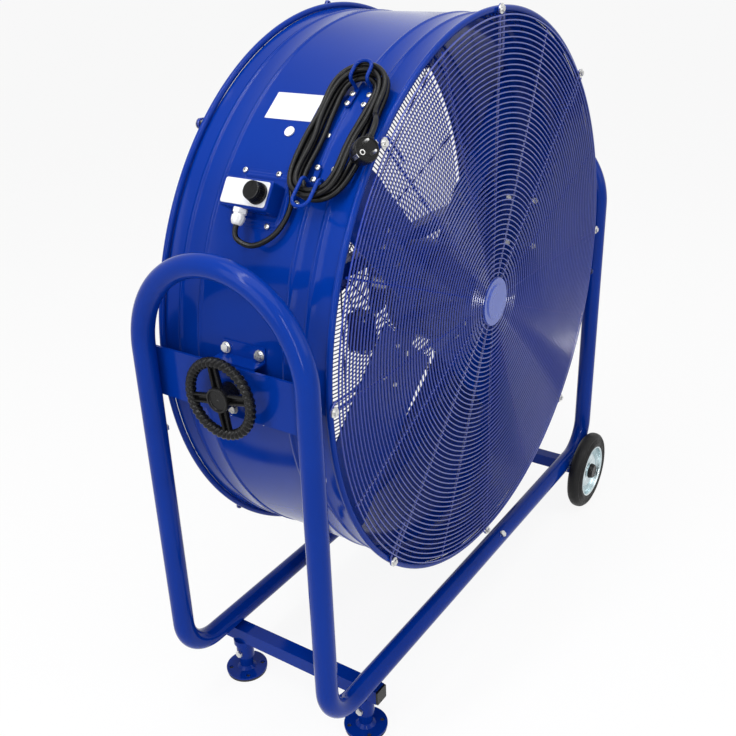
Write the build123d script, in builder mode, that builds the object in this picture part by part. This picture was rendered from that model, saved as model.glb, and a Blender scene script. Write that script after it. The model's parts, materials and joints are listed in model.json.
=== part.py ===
from build123d import *
import os
from math import acos, atan2, cos, degrees, hypot, pi, radians, sin, sqrt, tan

os.makedirs("parts", exist_ok=True)

# Mobile drum fan, millimetres. X runs along the tilt axis, from the handwheel (-X) to the road
# wheels (+X). Y is the drum axis, with the air leaving at -Y, the front. Z is up from the floor.

# ---------------------------------------------------------------- driving dimensions

running_gap = 0.3         # between pieces that move past each other, or seat without a weld
shaft_clearance = 0.05    # radial, shaft in bearing
hole_clearance = 0.3      # radial, screw in its hole

# screws: radius over the corners and height of a head, radius and height of a washer
head_m8 = (7.5, 5.0)
head_m6 = (5.5, 4.0)
head_m5 = (5.0, 3.5)
washer_m8 = (9.0, 1.5)

# drum
drum_r = 530.0            # outer face of the sheet
drum_wall = 2.0
drum_half_depth = 181.0   # to the face of the rolled rim
flare_y = 147.0           # where the wall starts to open towards the rim
bead_r = 6.0              # rolled rim, outside radius of its section
bead_ring_r = drum_r + 9  # centre line of the rolled rim
ridge_height = 2.5
ridge_width = 12.0
ridge_places = (-122.0, -83.0, 97.0, 140.0)

# grilles
ring_count = 52
ring_first_r = 48.0
ring_last_r = drum_r - 1
ring_stride = 6           # one ring in six is modelled
ring_wire = 3.0
spoke_wire = 4.0
spoke_count = 16
spoke_inner_r = 40.0
weld_sink = 0.3           # how far one wire melts into the other
clip_r = bead_ring_r + 1  # screws that hold the grille, on this radius
clip_count = 8
eye_r = 9.0
hairpin_gap = 14.0        # between the two wires of a hairpin spoke
hairpin_length = 74.0
hub_disc_r = 47.5
hub_disc_height = 5.0

# frame tubes
tube_d = 40.0
tube_wall = 2.0
hoop_x = drum_r + 55      # plane of each hoop
leg_y = 171.0
rail_z = 135.0
rail_gap = 49.0           # from the top of the rails to the rim of the drum
axis_z = rail_z + tube_d / 2 + rail_gap + bead_r + bead_ring_r
spring_z = axis_z + 48    # where the hoop's arch springs from its legs
bend_r = 80.0
leg_joint_z = axis_z - 159
rail_joint_x = 35.0
sleeve_length = 150.0
sleeve_wall = 2.0
joint_screw_offset = 45.0 # from a tube joint to its screw

# cross plates and drum brackets
plate_thickness = 5.0
plate_height = 90.0
plate_half_length = 174.0
bracket_wall = 3.0
bracket_half_width = 45.0 # along Y
bracket_web_half = 48.0   # along Z
bracket_flange = 20.0
bracket_bolt_y = 35.0
pivot_shaft_r = 8.0
guide_drop = 30.0         # guide bolt below the pivot
guide_bolt_r = 4.0
tilt_range = 60.0         # each way, set by the guide slot

# handwheel
handwheel_r = 75.0
handwheel_rim_r = 9.5     # section of the rim
handwheel_hub_r = 21.0
handwheel_hub_length = 40.0
handwheel_spokes = 4
handwheel_turn = 80.0     # of the first spoke, from the level towards the top

# feet and crossbar at the handwheel end
bar_size = 30.0
bar_wall = 2.0
bar_half_length = 188.0
bar_z = 100.0
foot_bar_x = 140 - hoop_x
foot_y = 152.0
cap_thickness = 4.0
foot_disc_r = 43.0
foot_disc_thickness = 4.0
foot_pad_thickness = 6.0
foot_hole_pcd = 66.0
foot_hole_r = 4.5
foot_leg_r = 14.0
foot_socket_r = 18.0
foot_socket_length = 46.0

# wheels
wheel_x = hoop_x - 63
wheel_y = 215.0
wheel_r = 100.0
wheel_width = 40.0
tyre_inner_r = 71.0
axle_r = 10.0
axle_end_y = 233.0

# rotor, on an external rotor motor
rotor_y = -39.0           # mid plane of the blades
motor_r = 95.0
motor_half_length = 45.0
motor_wall = 5.0
spindle_r = 12.0
spindle_boss_r = 26.0
blade_count = 4
tip_gap = 16.0            # between the blade tips and the drum
blade_tip_r = drum_r - drum_wall - tip_gap
blade_root_r = 118.0
blade_half_chord = 79.0
blade_camber = 9.0
blade_thickness = 3.0
blade_pitch = 12.3
blade_corner_r = 26.0
arm_width = 56.0
arm_thickness = 5.0
arm_end_r = 240.0
hub_ring_thickness = 6.0
hub_ring_half_length = 25.0

# motor carrier
carrier_y = 92.0          # front face of the crossbeam
carrier_beam = 32.0
carrier_beam_z = 49.0     # beam centre above the drum axis
carrier_plate = 6.0
carrier_plate_half_width = 27.0

# switch box on the drum
box_angle = -57.25        # from the top of the drum, towards -X
box_y = 14.0
box_length = 97.0         # along Y
box_width = 49.0          # round the drum
box_height = 35.0         # above the drum
box_wall = 2.5
faceplate_thickness = 2.0
faceplate_border = 2.0    # box showing round the faceplate
saddle_thickness = 2.0
knob_r = 19.5
knob_height = 25.0
knob_y = -13.0

# cord
cord_d = 9.0
cord_sides = 6
gland_y = 22.0
gland_height = 25.0       # of the gland's axis above the drum
gland_r = 11.0
gland_length = 27.0
hank_angle = -43.5
hank_y = -99.0
hank_base_r = drum_r + 7.5  # lower layer of the hank, from the drum axis
hank_pitch = 9.5
hank_half_run = 69.0
hank_outer_r = 50.5       # outermost turn
hank_turns_below = 3
hank_turns_above = 2

# cord hooks
hook_wire = 6.0
hook_half_width = 15.5
hook_length = 34.0

UP = (Align.CENTER, Align.CENTER, Align.MIN)
DOWN = (Align.CENTER, Align.CENTER, Align.MAX)
drum_axis = Axis((0, 0, axis_z), (0, 1, 0))


# ---------------------------------------------------------------- helpers

def on_drum(angle, y, radius):
    """Plane on the drum: local x runs round it towards +X, y along its axis, z outwards."""
    a = radians(angle)
    origin = (radius * sin(a), y, axis_z + radius * cos(a))
    return Plane(origin=origin, x_dir=(cos(a), 0, -sin(a)), z_dir=(sin(a), 0, cos(a)))


def drum_section(y):
    """Plane across the drum at y, seen from the front: local x is +X and local y is up."""
    return Plane(origin=(0, y, axis_z), x_dir=(1, 0, 0), z_dir=(0, -1, 0))


def half_plane():
    """Plane through the drum axis for turned pieces: local x is the radius, local y is +Y."""
    return Plane(origin=(0, 0, axis_z), x_dir=(1, 0, 0), z_dir=(0, 0, 1))


def sheet_arc(angle, half_angle, inner_r, outer_r):
    """Sheet curved to the drum, as an outline for a drum section."""
    start = 90 - angle - half_angle
    with BuildSketch() as outline:
        with BuildLine():
            inner = CenterArc((0, 0), inner_r, start, 2 * half_angle)
            outer = CenterArc((0, 0), outer_r, start, 2 * half_angle)
            Line(inner @ 0, outer @ 0)
            Line(inner @ 1, outer @ 1)
        make_face()
    return outline.sketch


def screw_group(places, shank_r, shank_length, head, washer=(0, 0), nut=(0, 0)):
    """Like screws as one group. Each place has its origin on the seat and looks out of it.
    The nut is given as depth below the seat and height."""
    head_r, head_height = head
    flat_r, flat_height = washer
    nut_depth, nut_height = nut
    with BuildPart() as group:
        with Locations(*places):
            Cylinder(shank_r, shank_length, align=DOWN)
            if flat_r:
                Cylinder(flat_r, flat_height, align=UP)
        with BuildSketch(*[place.offset(flat_height) for place in places]):
            RegularPolygon(head_r, 6)
        extrude(amount=head_height)
        if nut_height:
            with BuildSketch(*[place.offset(-nut_depth) for place in places]):
                RegularPolygon(head_r, 6)
            extrude(amount=-nut_height)
    return group


def keep(piece, label):
    """Label a finished piece and write its file."""
    piece.label = label
    export_step(piece, f"parts/{label}.step")


# ---------------------------------------------------------------- frame tubes

tube_r = tube_d / 2
bore_r = tube_r - tube_wall
sleeve_r = bore_r - running_gap
socket_depth = sleeve_length / 2 + 2
joint_screw_r = 4.0
joint_screw_length = 7.0
leg_screw_z = leg_joint_z + joint_screw_offset
rail_screw_x = rail_joint_x + joint_screw_offset


def leg_screw_place(side, y, radius):
    """On the face of a leg that looks at the drum."""
    return Plane(origin=(side * (hoop_x - radius), y, leg_screw_z), z_dir=(-side, 0, 0))


def rail_screw_place(side, radius):
    """On the upper outer face of a rail."""
    lean = radians(45)
    origin = (rail_screw_x, side * (leg_y + radius * cos(lean)), rail_z + radius * sin(lean))
    return Plane(origin=origin, z_dir=(0, side * cos(lean), sin(lean)))


leg_sides = [(side, y) for side in (-1, 1) for y in (-leg_y, leg_y)]
leg_screw_places = [leg_screw_place(side, y, tube_r) for side, y in leg_sides]
rail_screw_places = [rail_screw_place(side, tube_r) for side in (-1, 1)]

for side, name in ((-1, "left_hoop"), (1, "right_hoop")):
    with BuildPart() as hoop:
        with BuildLine() as path:
            rear_leg = Line((side * hoop_x, leg_y, leg_joint_z), (side * hoop_x, leg_y, spring_z))
            arch_top = (side * hoop_x, 0, spring_z + leg_y)
            arch = ThreePointArc(rear_leg @ 1, arch_top, (side * hoop_x, -leg_y, spring_z))
            Line(arch @ 1, (side * hoop_x, -leg_y, leg_joint_z))
        with BuildSketch(Plane(origin=path.line @ 0, z_dir=path.line % 0)):
            Circle(tube_r)
        sweep()
        with Locations(*[Plane(origin=(side * hoop_x, y, leg_joint_z), z_dir=(0, 0, -1))
                         for y in (-leg_y, leg_y)]):
            Hole(bore_r, depth=socket_depth)
        with Locations(*[leg_screw_place(side, y, tube_r) for y in (-leg_y, leg_y)]):
            Hole(joint_screw_r + hole_clearance, depth=tube_wall + 1)
    keep(hoop.part, name)

for side, end in ((-1, "left"), (1, "right")):
    for lane, row in ((-1, "front"), (1, "rear")):
        with BuildPart() as corner:
            with BuildLine() as path:
                leg = Line((side * hoop_x, lane * leg_y, leg_joint_z),
                           (side * hoop_x, lane * leg_y, rail_z + bend_r))
                bend = TangentArc(leg @ 1, (side * (hoop_x - bend_r), lane * leg_y, rail_z),
                                  tangent=leg % 1)
                Line(bend @ 1, (rail_joint_x, lane * leg_y, rail_z))
            with BuildSketch(Plane(origin=path.line @ 0, z_dir=path.line % 0)):
                Circle(tube_r)
            sweep()
            with Locations(Plane(origin=(side * hoop_x, lane * leg_y, leg_joint_z),
                                 z_dir=(0, 0, 1)),
                           Plane(origin=(rail_joint_x, lane * leg_y, rail_z),
                                 z_dir=(-side, 0, 0))):
                Hole(bore_r, depth=socket_depth)
            if side > 0:
                with Locations(rail_screw_place(lane, tube_r)):
                    Hole(joint_screw_r + hole_clearance, depth=tube_wall + 1)
        keep(corner.part, f"{row}_{end}_base_tube")

with BuildPart() as tube_sleeves:
    with Locations(*[(side * hoop_x, y, leg_joint_z) for side, y in leg_sides]):
        Cylinder(sleeve_r, sleeve_length)
        Cylinder(sleeve_r - sleeve_wall, sleeve_length, mode=Mode.SUBTRACT)
    with Locations(*[(rail_joint_x, y, rail_z) for y in (-leg_y, leg_y)]):
        Cylinder(sleeve_r, sleeve_length, rotation=(0, 90, 0))
        Cylinder(sleeve_r - sleeve_wall, sleeve_length, rotation=(0, 90, 0), mode=Mode.SUBTRACT)
    with Locations(*(leg_screw_places + rail_screw_places)):
        Hole(joint_screw_r + hole_clearance, depth=tube_wall + sleeve_wall + 2)
keep(tube_sleeves.part, "tube_sleeves")


# ---------------------------------------------------------------- cross plates and pivots

plate_outer_x = hoop_x - tube_r
plate_inner_x = plate_outer_x - plate_thickness
web_outer_x = plate_inner_x - running_gap
web_inner_x = web_outer_x - bracket_wall
guide_z = axis_z - guide_drop

for side, name in ((-1, "left_cross_plate"), (1, "right_cross_plate")):
    with BuildPart() as plate:
        with BuildSketch(Plane.YZ.offset(side * plate_outer_x)):
            with Locations((0, axis_z)):
                Rectangle(2 * plate_half_length, plate_height)
                Circle(pivot_shaft_r + hole_clearance, mode=Mode.SUBTRACT)
            if side < 0:
                with Locations((0, guide_z)):
                    Circle(guide_bolt_r + hole_clearance, mode=Mode.SUBTRACT)
        extrude(amount=-side * plate_thickness)
    keep(plate.part, name)

flange_inner_r = drum_r + running_gap
flange_outer_r = flange_inner_r + bracket_wall
bracket_bolt_z = bracket_web_half + bracket_flange / 2
bracket_bolt_angle = degrees(acos(bracket_bolt_z / drum_r))
bracket_bolt_r = 4.0


def bracket_bolt_places(side, radius):
    """Four bolts through the flanges of one bracket, on a cylinder of this radius."""
    angles = [side * bracket_bolt_angle, side * (180 - bracket_bolt_angle)]
    return [on_drum(a, y, radius) for a in angles for y in (-bracket_bolt_y, bracket_bolt_y)]


bracket_half_angle = degrees(atan2(bracket_flange / 2 + bracket_wall, drum_r))
channel_depth = 60.0      # more than the channel needs, cut back by the drum
guide_arc = CenterArc((0, 0), guide_drop, -90 - tilt_range, 2 * tilt_range)

for side, name in ((-1, "left_drum_bracket"), (1, "right_drum_bracket")):
    flanges = [sheet_arc(angle, bracket_half_angle, flange_inner_r, flange_outer_r)
               for angle in (side * bracket_bolt_angle, side * (180 - bracket_bolt_angle))]
    with BuildPart() as bracket:
        with BuildSketch(drum_section(-bracket_half_width)):
            with Locations((side * (web_outer_x - channel_depth / 2), 0)):
                Rectangle(channel_depth, 2 * bracket_web_half)
            with Locations((side * (web_inner_x - channel_depth / 2), 0)):
                Rectangle(channel_depth, 2 * (bracket_web_half - bracket_wall),
                          mode=Mode.SUBTRACT)
            add(flanges)
            Circle(flange_inner_r, mode=Mode.SUBTRACT)
        extrude(amount=-2 * bracket_half_width)
        with Locations(Plane(origin=(side * web_outer_x, 0, axis_z), z_dir=(side, 0, 0))):
            Hole(pivot_shaft_r + hole_clearance, depth=2 * bracket_wall)
        if side < 0:
            with BuildSketch(Plane.YZ.offset(side * web_outer_x)):
                with Locations((0, axis_z)):
                    SlotArc(guide_arc, 2 * (guide_bolt_r + hole_clearance))
            extrude(amount=2 * bracket_wall, both=True, mode=Mode.SUBTRACT)
        with Locations(*bracket_bolt_places(side, flange_outer_r + 1)):
            Hole(bracket_bolt_r + hole_clearance, depth=2 * bracket_wall)
    keep(bracket.part, name)

bracket_grip = flange_outer_r - drum_r + drum_wall + running_gap
bracket_nut = 5.5
bracket_bolts = screw_group([place for side in (-1, 1)
                             for place in bracket_bolt_places(side, flange_outer_r)],
                            bracket_bolt_r, bracket_grip + bracket_nut + 2, head_m8,
                            washer=(9.5, 2.0), nut=(bracket_grip, bracket_nut))
keep(bracket_bolts.part, "bracket_bolts")

# clamp stud with its handwheel, nut and washer
nut_half_flats = 12.0
nut_height = 13.0
washer_thickness = 3.0
washer_r = 17.0
pivot_head_height = 10.0
hub_seat_x = plate_outer_x + washer_thickness
hub_front_x = hub_seat_x + handwheel_hub_length
stud_front_x = hub_front_x - 8
stud_end_x = web_inner_x - nut_height - 4

with BuildPart() as clamp_washer:
    with BuildSketch(Plane.YZ.offset(-plate_outer_x)):
        with Locations((0, axis_z)):
            Circle(washer_r)
            Circle(pivot_shaft_r + hole_clearance, mode=Mode.SUBTRACT)
    extrude(amount=-washer_thickness)
keep(clamp_washer.part, "clamp_washer")

with BuildPart() as clamp_stud:
    with BuildSketch(Plane.YZ.offset(-stud_front_x)):
        with Locations((0, axis_z)):
            Circle(pivot_shaft_r)
    extrude(amount=stud_front_x - stud_end_x)
keep(clamp_stud.part, "clamp_stud")

with BuildPart() as clamp_nut:
    with BuildSketch(Plane.YZ.offset(-web_inner_x)):
        with Locations((0, axis_z)):
            RegularPolygon(nut_half_flats, 6, major_radius=False)
            Circle(pivot_shaft_r + 2 * shaft_clearance, mode=Mode.SUBTRACT)
    extrude(amount=nut_height)
keep(clamp_nut.part, "clamp_nut")

wheel_face_x = hub_seat_x + running_gap
rim_ring_r = handwheel_r - handwheel_rim_r
rim_centre_x = hub_front_x - handwheel_rim_r
spoke_rib = 4.5           # each of a spoke's two ribs, across it
spoke_rib_offset = 7.0
spoke_depth = 12.0
spoke_web = 4.0           # sheet that joins the two ribs
spoke_middle_r = (rim_ring_r + handwheel_hub_r) / 2
spoke_length = rim_ring_r - handwheel_hub_r + 10
hub_cup_wall = 3.0
hub_cup_depth = 2.5

with BuildPart() as handwheel:
    with BuildSketch(Plane(origin=(-rim_centre_x, 0, axis_z), x_dir=(0, 1, 0), z_dir=(0, 0, 1))):
        with Locations((rim_ring_r, 0)):
            RegularPolygon(handwheel_rim_r, 8, rotation=22.5)
    revolve(axis=Axis((0, 0, axis_z), (1, 0, 0)))
    with BuildSketch(Plane.YZ.offset(-wheel_face_x)):
        with Locations((0, axis_z)):
            Circle(handwheel_hub_r)
    extrude(amount=-(hub_front_x - wheel_face_x))
    with BuildSketch(Plane.YZ.offset(-(rim_centre_x + spoke_depth / 2))):
        with Locations((0, axis_z)):
            with PolarLocations(spoke_middle_r, handwheel_spokes, start_angle=handwheel_turn):
                with Locations((0, -spoke_rib_offset), (0, spoke_rib_offset)):
                    Rectangle(spoke_length, spoke_rib)
    extrude(amount=spoke_depth)
    with BuildSketch(Plane.YZ.offset(-(rim_centre_x + spoke_web / 2))):
        with Locations((0, axis_z)):
            with PolarLocations(spoke_middle_r, handwheel_spokes, start_angle=handwheel_turn):
                Rectangle(spoke_length, 2 * spoke_rib_offset)
    extrude(amount=spoke_web)
    with BuildSketch(Plane.YZ.offset(-wheel_face_x + 1)):
        with Locations((0, axis_z)):
            Circle(pivot_shaft_r + shaft_clearance)
    extrude(amount=-(stud_front_x - wheel_face_x + 1 + shaft_clearance), mode=Mode.SUBTRACT)
    with BuildSketch(Plane.YZ.offset(-hub_front_x)):
        with Locations((0, axis_z)):
            Circle(handwheel_hub_r - hub_cup_wall)
    extrude(amount=hub_cup_depth, mode=Mode.SUBTRACT)
keep(handwheel.part, "handwheel")

# guide bolt, held by the left plate and run in the slot of the left bracket
guide_place = Plane(origin=(-plate_outer_x, 0, guide_z), z_dir=(-1, 0, 0))
guide_bolt = screw_group([guide_place], guide_bolt_r,
                         plate_thickness + running_gap + 2 * bracket_wall, head_m8,
                         washer=washer_m8)
keep(guide_bolt.part, "guide_bolt")

# right pivot: bolt from outside, nut inside the bracket
with BuildPart() as right_pivot_bolt:
    with BuildSketch(Plane.YZ.offset(plate_outer_x)):
        with Locations((0, axis_z)):
            Circle(washer_r)
    extrude(amount=washer_thickness)
    with BuildSketch(Plane.YZ.offset(plate_outer_x + washer_thickness)):
        with Locations((0, axis_z)):
            RegularPolygon(nut_half_flats, 6, major_radius=False)
    extrude(amount=pivot_head_height)
    with BuildSketch(Plane.YZ.offset(plate_outer_x)):
        with Locations((0, axis_z)):
            Circle(pivot_shaft_r)
    extrude(amount=-(plate_outer_x - stud_end_x))
keep(right_pivot_bolt.part, "right_pivot_bolt")

with BuildPart() as right_pivot_nut:
    with BuildSketch(Plane.YZ.offset(web_inner_x - running_gap)):
        with Locations((0, axis_z)):
            RegularPolygon(nut_half_flats, 6, major_radius=False)
            Circle(pivot_shaft_r + shaft_clearance, mode=Mode.SUBTRACT)
    extrude(amount=-nut_height)
keep(right_pivot_nut.part, "right_pivot_nut")


# ---------------------------------------------------------------- crossbars and feet

bar_top = bar_z + bar_size / 2
bar_bottom = bar_z - bar_size / 2
cap_lip = 12.0
bar_bore = bar_size - 2 * bar_wall


def crossbar(x):
    """Square tube across the rails."""
    with BuildPart() as bar:
        with BuildSketch(Plane(origin=(x, -bar_half_length, bar_z), z_dir=(0, 1, 0))):
            Rectangle(bar_size, bar_size)
            Rectangle(bar_bore, bar_bore, mode=Mode.SUBTRACT)
        extrude(amount=2 * bar_half_length)
    return bar


disc_bottom = foot_pad_thickness
disc_top = disc_bottom + foot_disc_thickness
socket_bottom = bar_bottom - foot_socket_length
leg_top = bar_bottom - 8
collar_bottom = bar_bottom - 12
weld_leg = 6.0
pad_inset = 1.5
socket_bore_r = foot_leg_r + hole_clearance
foot_rows = ((-1, "front"), (1, "rear"))
foot_screw_places = [Plane(origin=(foot_bar_x - foot_socket_r, lane * foot_y, socket_bottom + 14),
                           z_dir=(-1, 0, 0)) for lane, row in foot_rows]


def foot_plane(lane):
    """Upright plane through one foot's axis: local x is the radius, local y is the height."""
    return Plane(origin=(foot_bar_x, lane * foot_y, 0), x_dir=(1, 0, 0), z_dir=(0, -1, 0))


def foot_axis(lane):
    return Axis((foot_bar_x, lane * foot_y, 0), (0, 0, 1))


foot_hole_places = [(foot_bar_x + foot_hole_pcd / 2 * cos(radians(turn)),
                     lane * foot_y + foot_hole_pcd / 2 * sin(radians(turn)), disc_top)
                    for lane, row in foot_rows for turn in (45, 135, 225, 315)]

with BuildPart() as foot_crossbar:
    add(crossbar(foot_bar_x).part)
    for lane, row in foot_rows:
        with BuildSketch(foot_plane(lane)):
            with BuildLine():
                Polyline((0, leg_top), (socket_bore_r, leg_top), (socket_bore_r, socket_bottom),
                         (foot_socket_r, socket_bottom), (foot_socket_r, collar_bottom - 4),
                         (foot_socket_r + 4, collar_bottom), (foot_socket_r + 4, bar_bottom),
                         (0, bar_bottom), close=True)
            make_face()
        revolve(axis=foot_axis(lane))
    with Locations(*foot_screw_places):
        Hole(joint_screw_r + hole_clearance, depth=foot_socket_r - socket_bore_r + 2)
keep(foot_crossbar.part, "foot_crossbar")

with BuildPart() as feet:
    for lane, row in foot_rows:
        with BuildSketch(foot_plane(lane)):
            with BuildLine():
                Polyline((0, disc_bottom), (foot_disc_r, disc_bottom), (foot_disc_r, disc_top),
                         (foot_leg_r + weld_leg, disc_top), (foot_leg_r, disc_top + weld_leg),
                         (foot_leg_r, leg_top - running_gap), (0, leg_top - running_gap),
                         close=True)
            make_face()
        revolve(axis=foot_axis(lane))
    with Locations(*foot_hole_places):
        Hole(foot_hole_r, depth=foot_disc_thickness)
keep(feet.part, "feet")

with BuildPart() as foot_pads:
    with BuildSketch(Plane.XY):
        with Locations(*[(foot_bar_x, lane * foot_y) for lane, row in foot_rows]):
            Circle(foot_disc_r - pad_inset)
    extrude(amount=foot_pad_thickness)
    with Locations(*foot_hole_places):
        Hole(foot_hole_r, depth=disc_top)
keep(foot_pads.part, "foot_pads")

with BuildPart() as frame_screws:
    add(screw_group(leg_screw_places + rail_screw_places, joint_screw_r, joint_screw_length,
                    head_m8).part)
    add(screw_group(foot_screw_places, joint_screw_r, foot_socket_r - foot_leg_r - 0.1,
                    head_m8).part)
keep(frame_screws.part, "frame_screws")


# ---------------------------------------------------------------- axle and wheels

axle_z = wheel_r
hub_inner = wheel_width / 2 + 1   # from the middle of the wheel to the hub's inner end
hub_outer = 10.0
hub_r = 17.0
hub_inner_y = wheel_y - hub_inner

axle_crossbar = crossbar(wheel_x)
keep(axle_crossbar.part, "axle_crossbar")

with BuildPart() as wheel_axle:
    with BuildSketch(Plane(origin=(wheel_x, -axle_end_y, axle_z), z_dir=(0, 1, 0))):
        Circle(axle_r)
    extrude(amount=2 * axle_end_y)
keep(wheel_axle.part, "wheel_axle")

plug_width = bar_bore - 2 * hole_clearance
plug_corner_r = 2.0
bush_r = axle_r + 4

with BuildPart() as crossbar_plugs:
    for lane in (-1, 1):
        cap_plane = Plane(origin=(foot_bar_x, lane * bar_half_length, bar_z), z_dir=(0, lane, 0))
        bush_plane = Plane(origin=(wheel_x, lane * bar_half_length, bar_z), z_dir=(0, lane, 0))
        with BuildSketch(cap_plane):
            RectangleRounded(bar_size, bar_size, plug_corner_r)
        extrude(amount=cap_thickness)
        with BuildSketch(cap_plane, bush_plane):
            Rectangle(plug_width, plug_width)
        extrude(amount=-cap_lip)
        with BuildSketch(bush_plane):
            Circle(bush_r)
        extrude(amount=hub_inner_y - running_gap - bar_half_length)
    with Locations(Plane(origin=(wheel_x, 0, axle_z), z_dir=(0, 1, 0))):
        Cylinder(axle_r + hole_clearance, 3 * bar_half_length, mode=Mode.SUBTRACT)
keep(crossbar_plugs.part, "crossbar_plugs")

hub_cap_r = hub_r + 3
hub_cap_wall = 3.5
rim_barrel_r = tyre_inner_r - 4
rim_sheet = 3.0
rim_half = wheel_width / 2 - 3
rim_lip_r = tyre_inner_r + 2
disc_crest_r = 34.0               # where the pressed disc stands out most
disc_foot_r = 50.0
disc_foot_y = 1.0
disc_crest_y = 7.0
disc_hub_y = 3.0


def wheel_plane(lane):
    """Half plane through one wheel: local x is the radius, local y points away from the frame."""
    return Plane(origin=(wheel_x, lane * wheel_y, axle_z), x_dir=(0, 0, 1),
                 z_dir=(-lane, 0, 0))


wheel_axis = Axis((wheel_x, 0, axle_z), (0, 1, 0))
rim_profile = [(axle_r + shaft_clearance, -hub_inner), (hub_r, -hub_inner),
               (hub_r, disc_hub_y), (disc_crest_r, disc_crest_y), (disc_foot_r, disc_foot_y),
               (rim_barrel_r, disc_foot_y), (rim_barrel_r, -rim_half), (rim_lip_r, -rim_half),
               (rim_lip_r, rim_sheet - rim_half), (rim_barrel_r + rim_sheet, rim_sheet - rim_half),
               (rim_barrel_r + rim_sheet, rim_half - rim_sheet), (rim_lip_r, rim_half - rim_sheet),
               (rim_lip_r, rim_half), (rim_barrel_r, rim_half),
               (rim_barrel_r, disc_foot_y + rim_sheet), (disc_foot_r + 1, disc_foot_y + rim_sheet),
               (disc_crest_r + 1, disc_crest_y + rim_sheet), (hub_r, disc_hub_y + rim_sheet),
               (hub_r, hub_outer), (axle_r + shaft_clearance, hub_outer)]
tyre_seat_r = rim_barrel_r + rim_sheet + hole_clearance
tyre_seat_half = rim_half - rim_sheet - hole_clearance
tyre_side_r = rim_lip_r + hole_clearance
tyre_foot_r = tyre_side_r + 4
shoulder_r = wheel_r - 9
crown_r = wheel_r - 2
crown_half = wheel_width / 2 - 5
tread_half = wheel_width / 2 - 10
tyre_profile = [(tyre_seat_r, -tyre_seat_half), (tyre_side_r, -tyre_seat_half),
                (tyre_foot_r, -wheel_width / 2), (shoulder_r, -wheel_width / 2),
                (crown_r, -crown_half), (wheel_r, -tread_half), (wheel_r, tread_half),
                (crown_r, crown_half), (shoulder_r, wheel_width / 2),
                (tyre_foot_r, wheel_width / 2), (tyre_side_r, tyre_seat_half),
                (tyre_seat_r, tyre_seat_half)]

for lane, row in foot_rows:
    with BuildPart() as wheel_rim:
        with BuildSketch(wheel_plane(lane)):
            with BuildLine():
                Polyline(*rim_profile, close=True)
            make_face()
        revolve(axis=wheel_axis)
    keep(wheel_rim.part, f"{row}_wheel_rim")

    with BuildPart() as wheel_tyre:
        with BuildSketch(wheel_plane(lane)):
            with BuildLine():
                Polyline(*tyre_profile, close=True)
            make_face()
        revolve(axis=wheel_axis)
    keep(wheel_tyre.part, f"{row}_wheel_tyre")

    cap_plane = Plane(origin=(wheel_x, lane * (wheel_y + hub_outer), axle_z), z_dir=(0, lane, 0))
    bore_depth = axle_end_y - wheel_y - hub_outer + hole_clearance
    with BuildPart() as hub_cap:
        with BuildSketch(cap_plane):
            Circle(hub_cap_r)
        extrude(amount=bore_depth + hub_cap_wall, taper=12)
        with BuildSketch(cap_plane):
            Circle(axle_r + hole_clearance)
        extrude(amount=bore_depth, mode=Mode.SUBTRACT)
    keep(hub_cap.part, f"{row}_hub_cap")


# ---------------------------------------------------------------- drum shell

def rim_place(side, turn, y):
    """On one rim's face at a turn from the top, looking along the drum axis away from it."""
    a = radians(turn)
    return Plane(origin=(clip_r * sin(a), side * y, axis_z + clip_r * cos(a)), z_dir=(0, side, 0))


clip_turns = [360 / clip_count * k for k in range(clip_count)]
clip_screw_r = 2.5
clip_screw_bite = 8.0             # into the rim
bead_y = drum_half_depth - bead_r * cos(radians(30))
sheet_end_y = drum_half_depth - 2 * bead_r + 3
sheet_end_r = bead_ring_r - bead_r + 3

# cord hooks and their screws, in the plane of the hank
hank_plane = on_drum(hank_angle, hank_y, 0)
inner_turn_r = hank_outer_r - (hank_turns_below - 1) * hank_pitch
riser_clearance = cord_d / 2 + hook_wire / 2 + 0.5
riser_x = hank_half_run + sqrt((inner_turn_r - riser_clearance) ** 2 - hook_half_width ** 2)
riser_turn = degrees(atan2(riser_x, hank_base_r))
tab_thickness = 3.0
tab_width = 10.0
tab_length = 42.0
tab_overhang = 5.0               # past the riser
tab_screw_steps = (11.0, 31.0)    # from the riser towards the middle of the hank
tab_screw_r = 2.5


tab_inner_r = drum_r + ridge_height + running_gap
tab_outer_r = tab_inner_r + tab_thickness


def tab_screw_places(radius):
    """Two screws in each of the four hook tabs."""
    turns = [hank_angle + end * (riser_turn - degrees(step / drum_r))
             for end in (-1, 1) for step in tab_screw_steps]
    return [on_drum(turn, hank_y + lane * hook_half_width, radius)
            for turn in turns for lane in (-1, 1)]


saddle_screw_spots = ((-52.4, 56.0), (-52.4, -13.0), (-61.6, -19.0))
saddle_screw_r = 2.5
saddle_outer_r = drum_r + running_gap + saddle_thickness
hole_cap_spots = ((-44.1, 2.5), (-39.5, -40.0))
hole_cap_r = 6.0
hole_cap_lip = 3.0
wall_cut = 4 * drum_wall

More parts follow.
